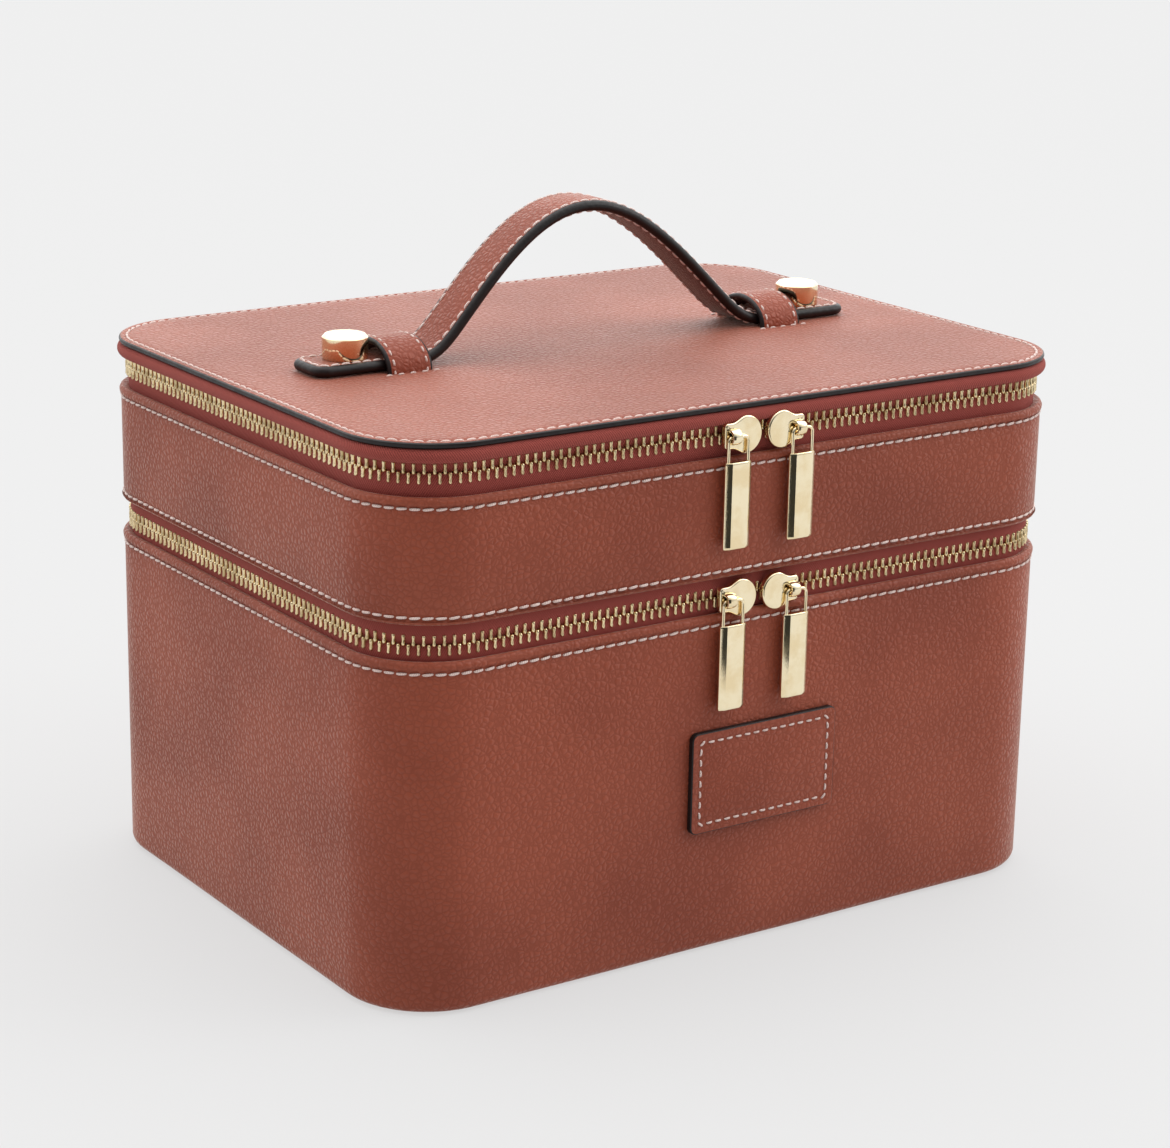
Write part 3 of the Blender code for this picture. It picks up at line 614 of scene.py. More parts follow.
def wall(name, places, profile, materials, body, replaces=(), soft=0.0, closed=True):
    bm = bmesh.new()
    sweep(bm, places, profile, closed_path=closed, soft=soft)
    return finish_piece(name, bm, materials, body, replaces)


def slab(name, places, profile, materials, body, replaces=(), keys=None, turn=None, half=None):
    """A closed plate: a swept edge with flat faces across its first and last rings."""
    bm = bmesh.new()
    rings = sweep(bm, places, profile, closed_profile=False, keys=keys, half=half)
    map_layer = bm.loops.layers.uv.verify()
    for face in close_ends(bm, rings):
        for loop in face.loops:
            loop[map_layer].uv = loop.vert.co.xy
    if turn:
        bmesh.ops.transform(bm, matrix=turn, verts=list(bm.verts))
    return finish_piece(name, bm, materials, body, replaces)


def rim_dip(z, depth, half):
    """Four points of the shallow valley that a row of stitches pulls in."""
    return [(0.0, z - half), (depth, z - half * 0.35), (depth, z + half * 0.35), (0.0, z + half)]


def path_normal(path, n, across):
    """The way that a path which is flat across one direction faces at one of its points."""
    before = path[max(n - 1, 0)]
    after = path[min(n + 1, len(path) - 1)]
    return (after - before).normalized().cross(across)


def strip(bm, path, across, section, keys=None):
    """Carries a section of (sideways, outwards) points along a path that is flat across one direction."""
    across = Vector(across)
    rings = []
    travelled = [0.0]
    for n, spot in enumerate(path):
        normal = path_normal(path, n, across)
        rings.append([bm.verts.new(spot + across * a + normal * b) for a, b in section])
        if n:
            travelled.append(travelled[-1] + (spot - path[n - 1]).length)
    skin(bm, rings, travelled, runs_round(section), keys=keys)


def strap_section(width, thickness, crown=0.0, edge_steps=6, top_steps=8):
    """A strap's section with rounded painted edges: its points, and for each side 1 where it is painted."""
    half = width / 2
    radius = thickness / 2
    points = []
    keys = []
    for n in range(top_steps):
        a = (half - radius) * (1 - 2 * n / top_steps)
        bow = crown * math.sin(math.pi * n / top_steps)
        points.append((a, radius + bow))
        keys.append(0)
    for centre, start in ((-half + radius, 90), (half - radius, 270)):
        for a, b in arc((centre, 0), radius, start, start + 180, edge_steps)[:-1]:
            points.append((a, b))
            keys.append(1)
        if start == 90:
            points.append((centre, -radius))
            keys.append(2)
    return points, keys


def lathe(bm, profile, centre, steps=72):
    """A round piece from (radius, height) points. A point on the axis closes the surface."""
    rings = []
    for radius, z in profile:
        if radius == 0:
            rings.append([bm.verts.new((centre.x, centre.y, z))])
            continue
        ring = []
        for n in range(steps):
            angle = math.tau * n / steps
            x = centre.x + radius * math.cos(angle)
            y = centre.y + radius * math.sin(angle)
            ring.append(bm.verts.new((x, y, z)))
        rings.append(ring)
    for low, high in zip(rings, rings[1:]):
        for n in range(steps):
            m = (n + 1) % steps
            corners = [low[n % len(low)], low[m % len(low)], high[m % len(high)], high[n % len(high)]]
            bm.faces.new(list(dict.fromkeys(corners)))


def tube(bm, path, across, radius, sides=12):
    """A round wire along a closed flat path."""
    across = Vector(across)
    rings = []
    for n, spot in enumerate(path):
        tangent = (path[(n + 1) % len(path)] - path[n - 1]).normalized()
        normal = tangent.cross(across)
        ring = []
        for k in range(sides):
            angle = math.tau * k / sides
            ring.append(bm.verts.new(spot + radius * (math.cos(angle) * across + math.sin(angle) * normal)))
        rings.append(ring)
    skin(bm, rings, closed_path=True)


# ---------------------------------------------------------------- pieces set along a line


def make_line_tree():
    """Sets copies of a shape along a line, each facing the way the line says."""
    tree = bpy.data.node_groups.new("Set along a line", "GeometryNodeTree")
    sockets = {}
    for label, kind in (
        ("Line", "Geometry"),
        ("Pitch", "Float"),
        ("Shape", "Object"),
        ("Slant", "Float"),
        ("Unevenness", "Float"),
        ("Material", "Material"),
    ):
        sockets[label] = tree.interface.new_socket(label, in_out="INPUT", socket_type="NodeSocket" + kind)
    tree.interface.new_socket("Pieces", in_out="OUTPUT", socket_type="NodeSocketGeometry")
    start = tree.nodes.new("NodeGroupInput")
    end = tree.nodes.new("NodeGroupOutput")
    curve = add(tree, "GeometryNodeMeshToCurve", {"Mesh": start.outputs["Line"]})
    spaced = add(
        tree,
        "GeometryNodeResampleCurve",
        {"Curve": curve.outputs["Curve"], "Length": start.outputs["Pitch"]},
        mode="LENGTH",
    )
    tangent = tree.nodes.new("GeometryNodeInputTangent")
    facing = add(tree, "GeometryNodeInputNamedAttribute", {"Name": "facing"}, data_type="FLOAT_VECTOR")
    turned = add(
        tree,
        "FunctionNodeAxesToRotation",
        {"Primary Axis": facing.outputs["Attribute"], "Secondary Axis": tangent.outputs["Tangent"]},
        primary_axis="Z",
        secondary_axis="X",
    )
    uneven = add(tree, "FunctionNodeRandomValue", {"Seed": 7}, data_type="FLOAT")
    for label, sign in (("Min", -1.0), ("Max", 1.0)):
        bound = add(tree, "ShaderNodeMath", {0: start.outputs["Unevenness"], 1: sign}, operation="MULTIPLY")
        socket = [s for s in uneven.inputs if s.name == label and s.type == "VALUE"][0]
        tree.links.new(bound.outputs[0], socket)
    random_value = [s for s in uneven.outputs if s.type == "VALUE"][0]
    slant = add(tree, "ShaderNodeMath", {0: start.outputs["Slant"], 1: random_value}, operation="ADD")
    about = add(tree, "FunctionNodeAxisAngleToRotation", {"Axis": (0, 0, 1), "Angle": slant.outputs[0]})
    rotation = add(
        tree,
        "FunctionNodeRotateRotation",
        {"Rotation": turned.outputs["Rotation"], "Rotate By": about.outputs["Rotation"]},
        rotation_space="LOCAL",
    )
    shape = add(tree, "GeometryNodeObjectInfo", {"Object": start.outputs["Shape"]})
    copies = add(
        tree,
        "GeometryNodeInstanceOnPoints",
        {
            "Points": spaced.outputs["Curve"],
            "Instance": shape.outputs["Geometry"],
            "Rotation": rotation.outputs["Rotation"],
        },
    )
    real = add(tree, "GeometryNodeRealizeInstances", {"Geometry": copies.outputs["Instances"]})
    painted = add(
        tree,
        "GeometryNodeSetMaterial",
        {"Geometry": real.outputs["Geometry"], "Material": start.outputs["Material"]},
    )
    tree.links.new(painted.outputs["Geometry"], end.inputs["Pieces"])
    return tree, {label: socket.identifier for label, socket in sockets.items()}


line_tree, line_sockets = make_line_tree()


def line_object(lines):
    """A helper mesh of loose lines. Each line is (points, the way each faces, whether it closes)."""
    points = []
    edges = []
    facings = []
    for spots, ways, closes in lines:
        first = len(points)
        points += [tuple(spot) for spot in spots]
        facings += [value for way in ways for value in way]
        edges += [(n, n + 1) for n in range(first, len(points) - 1)]
        if closes:
            edges.append((len(points) - 1, first))
    mesh = bpy.data.meshes.new("line")
    mesh.from_pydata(points, edges, [])
    mesh.attributes.new("facing", "FLOAT_VECTOR", "POINT").data.foreach_set("vector", facings)
    helper = bpy.data.objects.new("line", mesh)
    bpy.context.scene.collection.objects.link(helper)
    return helper


def set_along(name, lines, shape, pitch, look, body, slant=0.0, uneven=0.0, replaces=()):
    """One piece made of copies of a shape along some lines."""
    helper = line_object(lines)
    modifier = helper.modifiers.new("Set along a line", "NODES")
    modifier.node_group = line_tree
    values = {"Pitch": pitch, "Shape": shape, "Slant": slant, "Unevenness": uneven, "Material": looks[look]}
    for label, value in values.items():
        modifier[line_sockets[label]] = value
    helper.update_tag()
    graph = bpy.context.evaluated_depsgraph_get()
    mesh = bpy.data.meshes.new_from_object(helper.evaluated_get(graph), depsgraph=graph)
    mesh.name = name
    bpy.data.objects.remove(helper)
    return place_piece(name, mesh, body, replaces)


helper_shapes = []


def helper_shape(name, bm):
    """A shape that is only copied along lines. It is removed at the end."""
    bmesh.ops.recalc_face_normals(bm, faces=list(bm.faces))
    mesh = bpy.data.meshes.new(name)
    bm.to_mesh(mesh)
    bm.free()
    mesh.shade_smooth()
    helper = bpy.data.objects.new(name, mesh)
    helper_shapes.append(helper)
    return helper


def stitch_shape(length, width):
    """A plump stitch along X that dives into the leather at both ends."""
    bm = bmesh.new()
    sides = 8
    rings = []
    stops = (-1.0, -0.86, -0.5, 0.0, 0.5, 0.86, 1.0)
    for share in stops:
        fat = math.sqrt(max(0.0, 1 - share**4)) * 0.9 + 0.1
        sink = -0.42 * width * abs(share) ** 3
        ring = []
        for n in range(sides):
            angle = math.tau * n / sides
            y = math.cos(angle) * width / 2 * fat
            z = math.sin(angle) * width * 0.42 * fat + width * 0.12 + sink
            ring.append(bm.verts.new((share * length / 2, y, z)))
        rings.append(ring)
    along = [(share + 1) / 2 for share in stops]
    skin(bm, rings, along, [n / sides for n in range(sides + 1)])
    return helper_shape("stitch", bm)


def tooth_shape(up):
    """One tooth across the tape: a clamp on the tape, a neck and a rounded head that meets the other row."""
    bm = bmesh.new()
    half = TOOTH_DEPTH / 2
    outline = [(0.25, 1.0), (0.7, 1.0), (1.15, 0.78), (1.9, 0.86), (2.4, 1.0), (2.9, 0.94)]
    stops = [(-TOOTH_LAP, 0.72)]
    stops += [(reach * MM, share) for reach, share in outline]
    stops.append((TOOTH_LENGTH - TOOTH_LAP, 0.62))
    sides = 8
    rings = []
    for reach, share in stops:
        ring = []
        for n in range(sides):
            angle = math.tau * (n + 0.5) / sides
            x = max(-1, min(1, math.cos(angle) * 1.15)) * TOOTH_WIDTH / 2 * share
            z = max(-1, min(1, math.sin(angle) * 1.15)) * half * (0.55 + 0.45 * share)
            ring.append(bm.verts.new((x, up * reach, z)))
        rings.append(ring)
    skin(bm, rings)
    return helper_shape("tooth", bm)


stitch = stitch_shape(STITCH_LENGTH, STITCH_WIDTH)
fine_stitch = stitch_shape(FINE_LENGTH, STITCH_WIDTH * 0.85)
teeth_up = tooth_shape(1)
teeth_down = tooth_shape(-1)


def sew(name, lines, body, uneven=0.05, slant=0.0, fine=False):
    """One piece with a row of stitches along each line."""
    shape, pitch = (fine_stitch, FINE_PITCH) if fine else (stitch, STITCH_PITCH)
    return set_along(name, lines, shape, pitch, "thread", body, slant, uneven)


def wall_line(places, inset, z, closes=True, from_end=0.0):
    """A level line on a wall. An open one can start and stop a little way in from its ends."""
    spots = [Vector((p.x - n.x * inset, p.y - n.y * inset, z)) for p, n, _ in places]
    ways = [(n.x, n.y, 0.0) for _, n, _ in places]
    if from_end and not closes:
        spots[0] += (spots[1] - spots[0]).normalized() * from_end
        spots[-1] += (spots[-2] - spots[-1]).normalized() * from_end
    return spots, ways, closes


def flat_line(places, inset, z):
    """A level line on a flat top."""
    spots = [Vector((p.x - n.x * inset, p.y - n.y * inset, z)) for p, n, _ in places]
    return spots, [(0.0, 0.0, 1.0)] * len(spots), True


# ---------------------------------------------------------------- lower case and tier

around = case_places()
around_zip = case_places(ZIP_GAP / 2)
around_tape = case_places(ZIP_GAP / 2 - TAPE_OVERLAP)


def leather_wall(name, low, high, body, replaces, bottom_round, stitch_depths):
    """A wall of leather over foam, with plump folded rims and a valley under each row of stitches."""
    rim = 3.0 * MM
    half_valley = 1.6 * MM
    valley = 0.35 * MM
    profile = [(WALL, low + 0.4 * MM)]
    if bottom_round:
        profile += arc((bottom_round, low + bottom_round), bottom_round, 270, 180, 8)
    else:
        profile += [(1.5 * MM, low), (0.5 * MM, low), (-0.1 * MM, low + 0.35 * MM), (-PUFF, low + 1.0 * MM)]
    for depth in sorted(stitch_depths):
        profile += rim_dip(depth, valley, half_valley)
    profile += [
        (-PUFF * 0.8, high - rim * 0.66),
        (-PUFF, high - 1.0 * MM),
        (-0.1 * MM, high - 0.2 * MM),
        (0.6 * MM, high + 0.2 * MM),
        (1.6 * MM, high),
        (WALL, high - 0.4 * MM),
    ]
    return wall(name, around, profile, ["leather"], body, replaces, soft=SOFTNESS)


def lining_tub(name, floor_node, rim_node, body, replaces):
    """The suede inside: a floor, a wall, and the binding that folds over the board's top edge."""
    low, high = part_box(floor_node)
    rim_low, rim_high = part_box(rim_node)
    case_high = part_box("lid_top_leather")[1]
    outer = case_high.x - high.x
    over = case_high.x - rim_high.x
    inner = outer + 1.0 * MM
    turn = 3.0 * MM
    profile = [(inner + turn, low.z + 1.0 * MM)]
    profile += arc((inner + turn, low.z + 1.0 * MM + turn), turn, 270, 180, 6)[1:]
    profile += [(inner, rim_high.z - 1.2 * MM), (inner - 0.4 * MM, rim_high.z - 0.3 * MM)]
    profile += [(inner - 1.2 * MM, rim_high.z), (over + 0.8 * MM, rim_high.z), (over, rim_high.z - 0.8 * MM)]
    profile += [(over, rim_low.z), (outer, rim_low.z - 0.3 * MM), (outer, low.z), (inner + turn, low.z)]
    return slab(name, around, profile, ["suede"], body, replaces)


def zip_teeth(name, node, zip_z, up, body):
    inset = TOOTH_INSET + TOOTH_DEPTH / 2
    start = 0.0 if up else TOOTH_PITCH / 2
    line = wall_line(around_zip, inset, zip_z, closes=False, from_end=start + 0.4 * MM)
    shape = teeth_down if up else teeth_up
    return set_along(name, [line], shape, TOOTH_PITCH, "teeth", body, replaces=[node])


def zip_tape(name, node, profile, body):
    """A tape from the teeth to where it is sewn in, given by its outer line and a thickness."""
    inner = [(inset + TAPE_THICKNESS, z) for inset, z in reversed(profile)]
    return wall(name, around_tape, profile + inner, ["tape"], body, [node], closed=False)


def build_base():
    low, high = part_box("base_leather")
    profile = [(6 * MM, low.z), (3.2 * MM, low.z + 0.1 * MM), (2.6 * MM, low.z + 0.5 * MM)]
    profile.append((2.5 * MM, high.z))
    slab("base_panel", around, profile, ["leather"], "lower_case", ["base_leather"])


def build_lower_case():
    low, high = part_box("lower_side_leather")
    seam = high.z - 3.4 * MM
    stands_for = ["lower_side_leather", "lower_foam_wrap"]
    leather_wall("lower_wall", low.z, high.z, "lower_case", stands_for, 3 * MM, [seam])
    stands_for = ["lower_lining", "lower_rim_binding"]
    lining_tub("lower_inside", *stands_for, "lower_case", stands_for)
    build_base()
    sew("lower_stitches", [wall_line(around, 0.15 * MM, seam)], "lower_case", slant=STITCH_SLANT)


def build_tier():
    low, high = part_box("tier_side_leather")
    seams = [low.z + 2.1 * MM, high.z - 3.1 * MM]
    stands_for = ["tier_side_leather", "tier_foam_wrap"]
    leather_wall("tier_wall", low.z, high.z, "upper_tier", stands_for, 0, seams)
    stands_for = ["tier_lining", "tier_rim_binding"]
    lining_tub("tier_inside", *stands_for, "upper_tier", stands_for)
    under_low, under_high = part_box("tier_underside_lining")
    inset = high.x - under_high.x
    profile = [(inset + 6 * MM, under_low.z), (inset, under_low.z + 0.3 * MM), (inset, under_high.z)]
    slab("tier_underside", around, profile, ["suede"], "upper_tier", ["tier_underside_lining"])
    lines = [wall_line(around, 0.15 * MM, seam) for seam in seams]
    sew("tier_stitches", lines, "upper_tier", slant=STITCH_SLANT)


def zip_height(level):
    """The middle of a zip, half way between its two rows."""
    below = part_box(f"{level}_zip_bottom_teeth")[1].z
    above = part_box(f"{level}_zip_top_teeth")[0].z
    return (below + above) / 2


def build_zips():
    clamp = 2.7 * MM
    recess = TOOTH_INSET + 0.6 * MM
    for level, (under, over) in BODIES_AT_ZIP.items():
        middle = zip_height(level)
        zip_teeth(f"{level}_teeth_bottom", f"{level}_zip_bottom_teeth", middle, False, under)
        zip_teeth(f"{level}_teeth_top", f"{level}_zip_top_teeth", middle, True, over)
        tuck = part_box(f"{level}_zip_bottom_tape")[0].z
        behind = (recess + TOOTH_DEPTH * 0.4, middle - 0.2 * MM)
        profile = [behind, (recess + 0.2 * MM, middle - clamp * 0.7), (recess, middle - clamp - 0.4 * MM)]
        profile += [(recess + 0.3 * MM, middle - clamp - 2.2 * MM), (recess + 0.4 * MM, tuck)]
        zip_tape(f"{level}_tape_bottom", f"{level}_zip_bottom_tape", profile, under)
        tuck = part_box(f"{level}_zip_top_tape")[1].z
        behind = (recess + TOOTH_DEPTH * 0.4, middle + 0.2 * MM)
        profile = [behind, (recess + 0.2 * MM, middle + clamp * 0.7), (recess, middle + clamp + 0.5 * MM)]
        if level == "upper":
            profile += arc((1.3 * MM, tuck - 1.9 * MM), 2.2 * MM, 235, 110, 12)
            profile.append((recess, tuck))
        else:
            profile += [(recess + 0.3 * MM, middle + clamp + 2.0 * MM), (recess + 0.4 * MM, tuck)]
        zip_tape(f"{level}_tape_top", f"{level}_zip_top_tape", profile, over)


def build_hinge_strips():
    steps = 40
    for level, (under, over) in BODIES_AT_ZIP.items():
        node = f"{level}_hinge_strip"
        low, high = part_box(node)
        middle_y = (low.y + high.y) / 2
        path = [Vector((0, middle_y, low.z + (high.z - low.z) * n / steps)) for n in range(steps + 1)]
        section, keys = strap_section(high.x - low.x, 1.5 * MM)
        bm = bmesh.new()
        strip(bm, path, (1, 0, 0), section, keys)
        piece = finish_piece(f"{level}_back_hinge", bm, STRAP_LOOKS, None, [node])
        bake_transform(piece)


def upright_at(x, y, z):
    """Stands a flat outline up at a point, facing forwards."""
    return Matrix.Translation((x, y, z)) @ Matrix.Rotation(math.radians(90), 4, "X")


def build_patch():
    low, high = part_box("front_patch")
    centre = (low + high) / 2
    half = ((high.x - low.x) / 2, (high.z - low.z) / 2)
    places = outline_places(*half, PATCH_CORNER, corner_steps=6)
    thick = high.y - low.y + 0.2 * MM
    profile = [(0.4 * MM, 0), (0, 0.2 * MM), (0, thick - 0.6 * MM)]
    profile += arc((0.5 * MM, thick - 0.5 * MM), 0.5 * MM, 180, 90, 5)
    profile += [(2.2 * MM, thick), (2.7 * MM, thick - 0.2 * MM)]
    profile += [(3.5 * MM, thick - 0.2 * MM), (4.2 * MM, thick)]
    keys = [1] * 7 + [0] * (len(profile) - 8)
    upright = upright_at(centre.x, high.y + 0.3 * MM, centre.z)
    stands_for = ["front_patch"]
    finish = ["leather", "edge"]
    slab("patch", places, profile, finish, "lower_case", stands_for, keys, upright, half)
    seam = [Vector((*kept_inside(p, n, 3.1 * MM, half), thick - 0.05 * MM)) for p, n, _ in places]
    spots = [upright @ spot for n, spot in enumerate(seam) if (spot - seam[n - 1]).length > 0.05 * MM]
    line = (spots, [(0.0, -1.0, 0.0)] * len(spots), True)
    sew("patch_stitches", [line], "lower_case", 0.06, fine=True)


# ---------------------------------------------------------------- inside fittings


def build_dividers():
    for place in ("long", "front", "back_left", "back_right"):
        node = f"tray_divider_{place}"
        low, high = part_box(node)
        centre = (low + high) / 2
        half = (high - low) / 2
        places = outline_places(half.x, half.y, min(half.x, half.y) * 0.98, corner_steps=8, step=5 * MM)
        places = [(point + centre.xy, normal, travelled) for point, normal, travelled in places]
        top_round = min(half.x, half.y) * 0.9
        profile = [(top_round, low.z), (0, low.z)]
        profile += arc((top_round, high.z - top_round), top_round, 180, 95, 8)
        slab(f"{node}_cover", places, profile, ["suede"], "upper_tier", [node])


def roll_mesh(bm, low, high, shrink):
    """A plump roll along X: a round top, a flat foot and soft round ends."""
    centre = (low + high) / 2
    radius = (high.y - low.y) / 2 - shrink
    foot = 1.5 * MM
    section = arc((0, high.z - shrink - radius), radius, 0, 180, 16)
    section += arc((-radius + foot, low.z + foot), foot, 180, 270, 4)
    section += arc((radius - foot, low.z + foot), foot, 270, 360, 4)
    half = (high.x - low.x) / 2 - shrink
    end_round = 5 * MM
    steps = 40
    rings = []
    for step in range(steps + 1):
        x = (-1 + 2 * step / steps) * half
        into = max(0.0, abs(x) - (half - end_round)) / end_round
        size = 0.55 + 0.45 * math.sqrt(max(0.0, 1 - into**2))
        ring = []
        for y, z in section:
            spot = (centre.x + x, centre.y + y * size, centre.z + (z - centre.z) * size)
            ring.append(bm.verts.new(spot))
        rings.append(ring)
    skin(bm, rings)


def plump_cloth(roll):
    """Even voxels over a roll and cloth on them, held at the foot, ready to be blown up a little."""
    remesh = roll.modifiers.new("even mesh", "REMESH")
    remesh.mode = "VOXEL"
    remesh.voxel_size = ROLL_VOXEL
    graph = bpy.context.evaluated_depsgraph_get()
    roll.data = bpy.data.meshes.new_from_object(roll.evaluated_get(graph), depsgraph=graph)
    roll.modifiers.remove(remesh)
    foot = min(vertex.co.z for vertex in roll.data.vertices) + ROLL_HELD
    held = roll.vertex_groups.new(name="held")
    held.add([vertex.index for vertex in roll.data.vertices if vertex.co.z < foot], 1.0, "REPLACE")
    cloth = roll.modifiers.new("plump", "CLOTH")
    cloth.settings.use_pressure = True
    cloth.settings.uniform_pressure_force = ROLL_PRESSURE
    cloth.settings.effector_weights.gravity = 0
    cloth.settings.vertex_group_mass = "held"
    cloth.settings.tension_stiffness = ROLL_STIFFNESS
    cloth.settings.compression_stiffness = ROLL_STIFFNESS
    cloth.settings.bending_stiffness = ROLL_BENDING
    cloth.point_cache.frame_end = ROLL_FRAMES


def plumped(roll):
    """The simulated mesh, with each point's movement capped, subdivided once."""
    graph = bpy.context.evaluated_depsgraph_get()
    shape = bpy.data.meshes.new_from_object(roll.evaluated_get(graph), depsgraph=graph)
    for vertex, start in zip(shape.vertices, roll.data.vertices):
        move = vertex.co - start.co
        if move.length > ROLL_MOVE:
            vertex.co = start.co + move.normalized() * ROLL_MOVE
    roll.modifiers.clear()
    roll.vertex_groups.clear()
    roll.data = shape
    finer = roll.modifiers.new("finer", "SUBSURF")
    finer.levels = finer.render_levels = 1
    graph = bpy.context.evaluated_depsgraph_get()
    roll.data = bpy.data.meshes.new_from_object(roll.evaluated_get(graph), depsgraph=graph)
    roll.modifiers.clear()
    roll.data.shade_smooth()


def build_ring_rolls():
    """Five plump rolls. Each starts a little small and is blown up as cloth."""
    nodes = [f"ring_roll_{number}" for number in range(1, 6)]
    pieces = []
    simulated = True
    for number, node in enumerate(nodes, 1):
        low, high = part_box(node)
        bm = bmesh.new()
        roll_mesh(bm, low, high, ROLL_SHRINK if simulated else 0.0)
        pieces.append(finish_piece(f"ring_cushion_{number}", bm, ["suede"]))
    if simulated:
        for roll in pieces:
            plump_cloth(roll)
        for step in range(1, ROLL_FRAMES + 1):
            bpy.context.scene.frame_set(step)
        for roll in pieces:
            plumped(roll)
        bpy.context.scene.frame_set(1)
    for roll, node in zip(pieces, nodes):
        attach(roll, "upper_tier")
        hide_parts(node)


# ---------------------------------------------------------------- lid


def build_lid():
    """The lid's panel: a painted edge, a valley under the stitches and a flat middle."""
    low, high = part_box("lid_top_leather")
    top = high.z
    profile = [
        (3.0 * MM, low.z),
        (0.5 * MM, low.z),
        (-0.1 * MM, low.z + 0.3 * MM),
        (-0.3 * MM, low.z + 0.9 * MM),
        (-0.2 * MM, top - 0.3 * MM),
        (0.2 * MM, top),
        (0.7 * MM, top + 0.12 * MM),
        (1.3 * MM, top + 0.1 * MM),
        (1.9 * MM, top - 0.2 * MM),
        (2.5 * MM, top - 0.2 * MM),
        (3.2 * MM, top + 0.12 * MM),
        (6.0 * MM, top + 0.1 * MM),
        (14.0 * MM, top),
        (24.0 * MM, top),
    ]
    keys = [2, 1, 1, 1, 1] + [0] * 8
    slab("lid_leather", around, profile, STRAP_LOOKS, "lid", ["lid_top_leather"], keys)
    sew("lid_stitches", [flat_line(around, 2.2 * MM, top - 0.1 * MM)], "lid", slant=STITCH_SLANT)
    build_lid_inside(high)


def build_lid_inside(case_high):
    low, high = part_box("lid_lining")
    inset = case_high.x - high.x
    profile = [(inset + 6 * MM, high.z), (inset, high.z), (inset, low.z + 0.3 * MM)]
    profile += [(inset + 0.4 * MM, low.z), (inset + 8 * MM, low.z)]
    slab("lid_inside", around, profile, ["suede"], "lid", ["lid_lining"])
    low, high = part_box("lid_mirror")
    places = outline_places(high.x, high.y, MIRROR_CORNER, corner_steps=10)
    profile = [(0.6 * MM, high.z), (0, high.z - 0.4 * MM), (0, low.z + 0.5 * MM), (1.2 * MM, low.z)]
    slab("mirror", places, profile, ["mirror"], "lid", ["lid_mirror"])
    frame_low, frame_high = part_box("mirror_frame")
    width = frame_high.x - high.x - 0.3 * MM
    places = outline_places(frame_high.x, frame_high.y, MIRROR_FRAME_CORNER, corner_steps=12)
    under = frame_low.z - 0.4 * MM
    profile = [(0, frame_high.z), (0, under + 0.6 * MM), (0.6 * MM, under), (width - 0.8 * MM, under)]
    profile += [(width, under + 0.6 * MM), (width, frame_high.z)]
    wall("mirror_surround", places, profile, ["leather"], "lid", ["mirror_frame"])
    spots = [Vector((p.x - n.x * 1.6 * MM, p.y - n.y * 1.6 * MM, under + 0.05 * MM)) for p, n, _ in places]
    line = (spots, [(0.0, 0.0, -1.0)] * len(spots), True)
    sew("mirror_stitches", [line], "lid", 0.04, fine=True)


# ---------------------------------------------------------------- handle


def arch_path():
    """The middle line of the handle's arch, with flat feet that reach a little into the keepers."""
    low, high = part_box("handle_strap")
    middle = low.z + STRAP_THICKNESS / 2
    rise = high.z - low.z - STRAP_THICKNESS
    half_span = high.x
    reach = half_span - ARCH_FLAT_FOOT
    path = [Vector((-half_span - ARCH_INSIDE_KEEPER, 0, middle)), Vector((-half_span, 0, middle))]
    steps = 64
    for n in range(steps + 1):
        x = reach * (2 * n / steps - 1)
        share = max(0.0, math.cos(math.pi / 2 * x / reach)) ** ARCH_FULLNESS
        path.append(Vector((x - ARCH_LEAN * share, 0, middle + rise * share)))
    path += [Vector((half_span, 0, middle)), Vector((half_span + ARCH_INSIDE_KEEPER, 0, middle))]
    for _ in range(ARCH_EASING):
        inner = [(a + b * 2 + c) / 4 for a, b, c in zip(path, path[1:], path[2:])]
        path = [path[0], *inner, path[-1]]
    return path


def path_lines(path, across, side, out):
    """A line along a strap at a distance to one side of its middle, and the way it faces."""
    across = Vector(across)
    spots = []
    ways = []
    for n, spot in enumerate(path):
        normal = path_normal(path, n, across)
        spots.append(spot + across * side + normal * out)
        ways.append(tuple(normal if out > 0 else -normal))
    return spots, ways, False


def build_handle_arch():
    low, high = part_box("handle_strap")
    width = high.y - low.y
    path = arch_path()
    section, keys = strap_section(width, STRAP_THICKNESS, 0.35 * MM)
    bm = bmesh.new()
    strip(bm, path, (0, 1, 0), section, keys)
    arch = finish_piece("handle_arch", bm, STRAP_LOOKS, "lid", ["handle_strap"])
    side = width / 2 - STITCH_FROM_EDGE
    lines = []
    for sign in (-1, 1):
        for out in (1.02, -1.0):
            lines.append(path_lines(path, (0, 1, 0), sign * side, out * STRAP_THICKNESS / 2))
    sewing = sew("arch_stitches", lines, "lid", 0.04)
    for piece in (arch, sewing):
        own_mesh(piece)


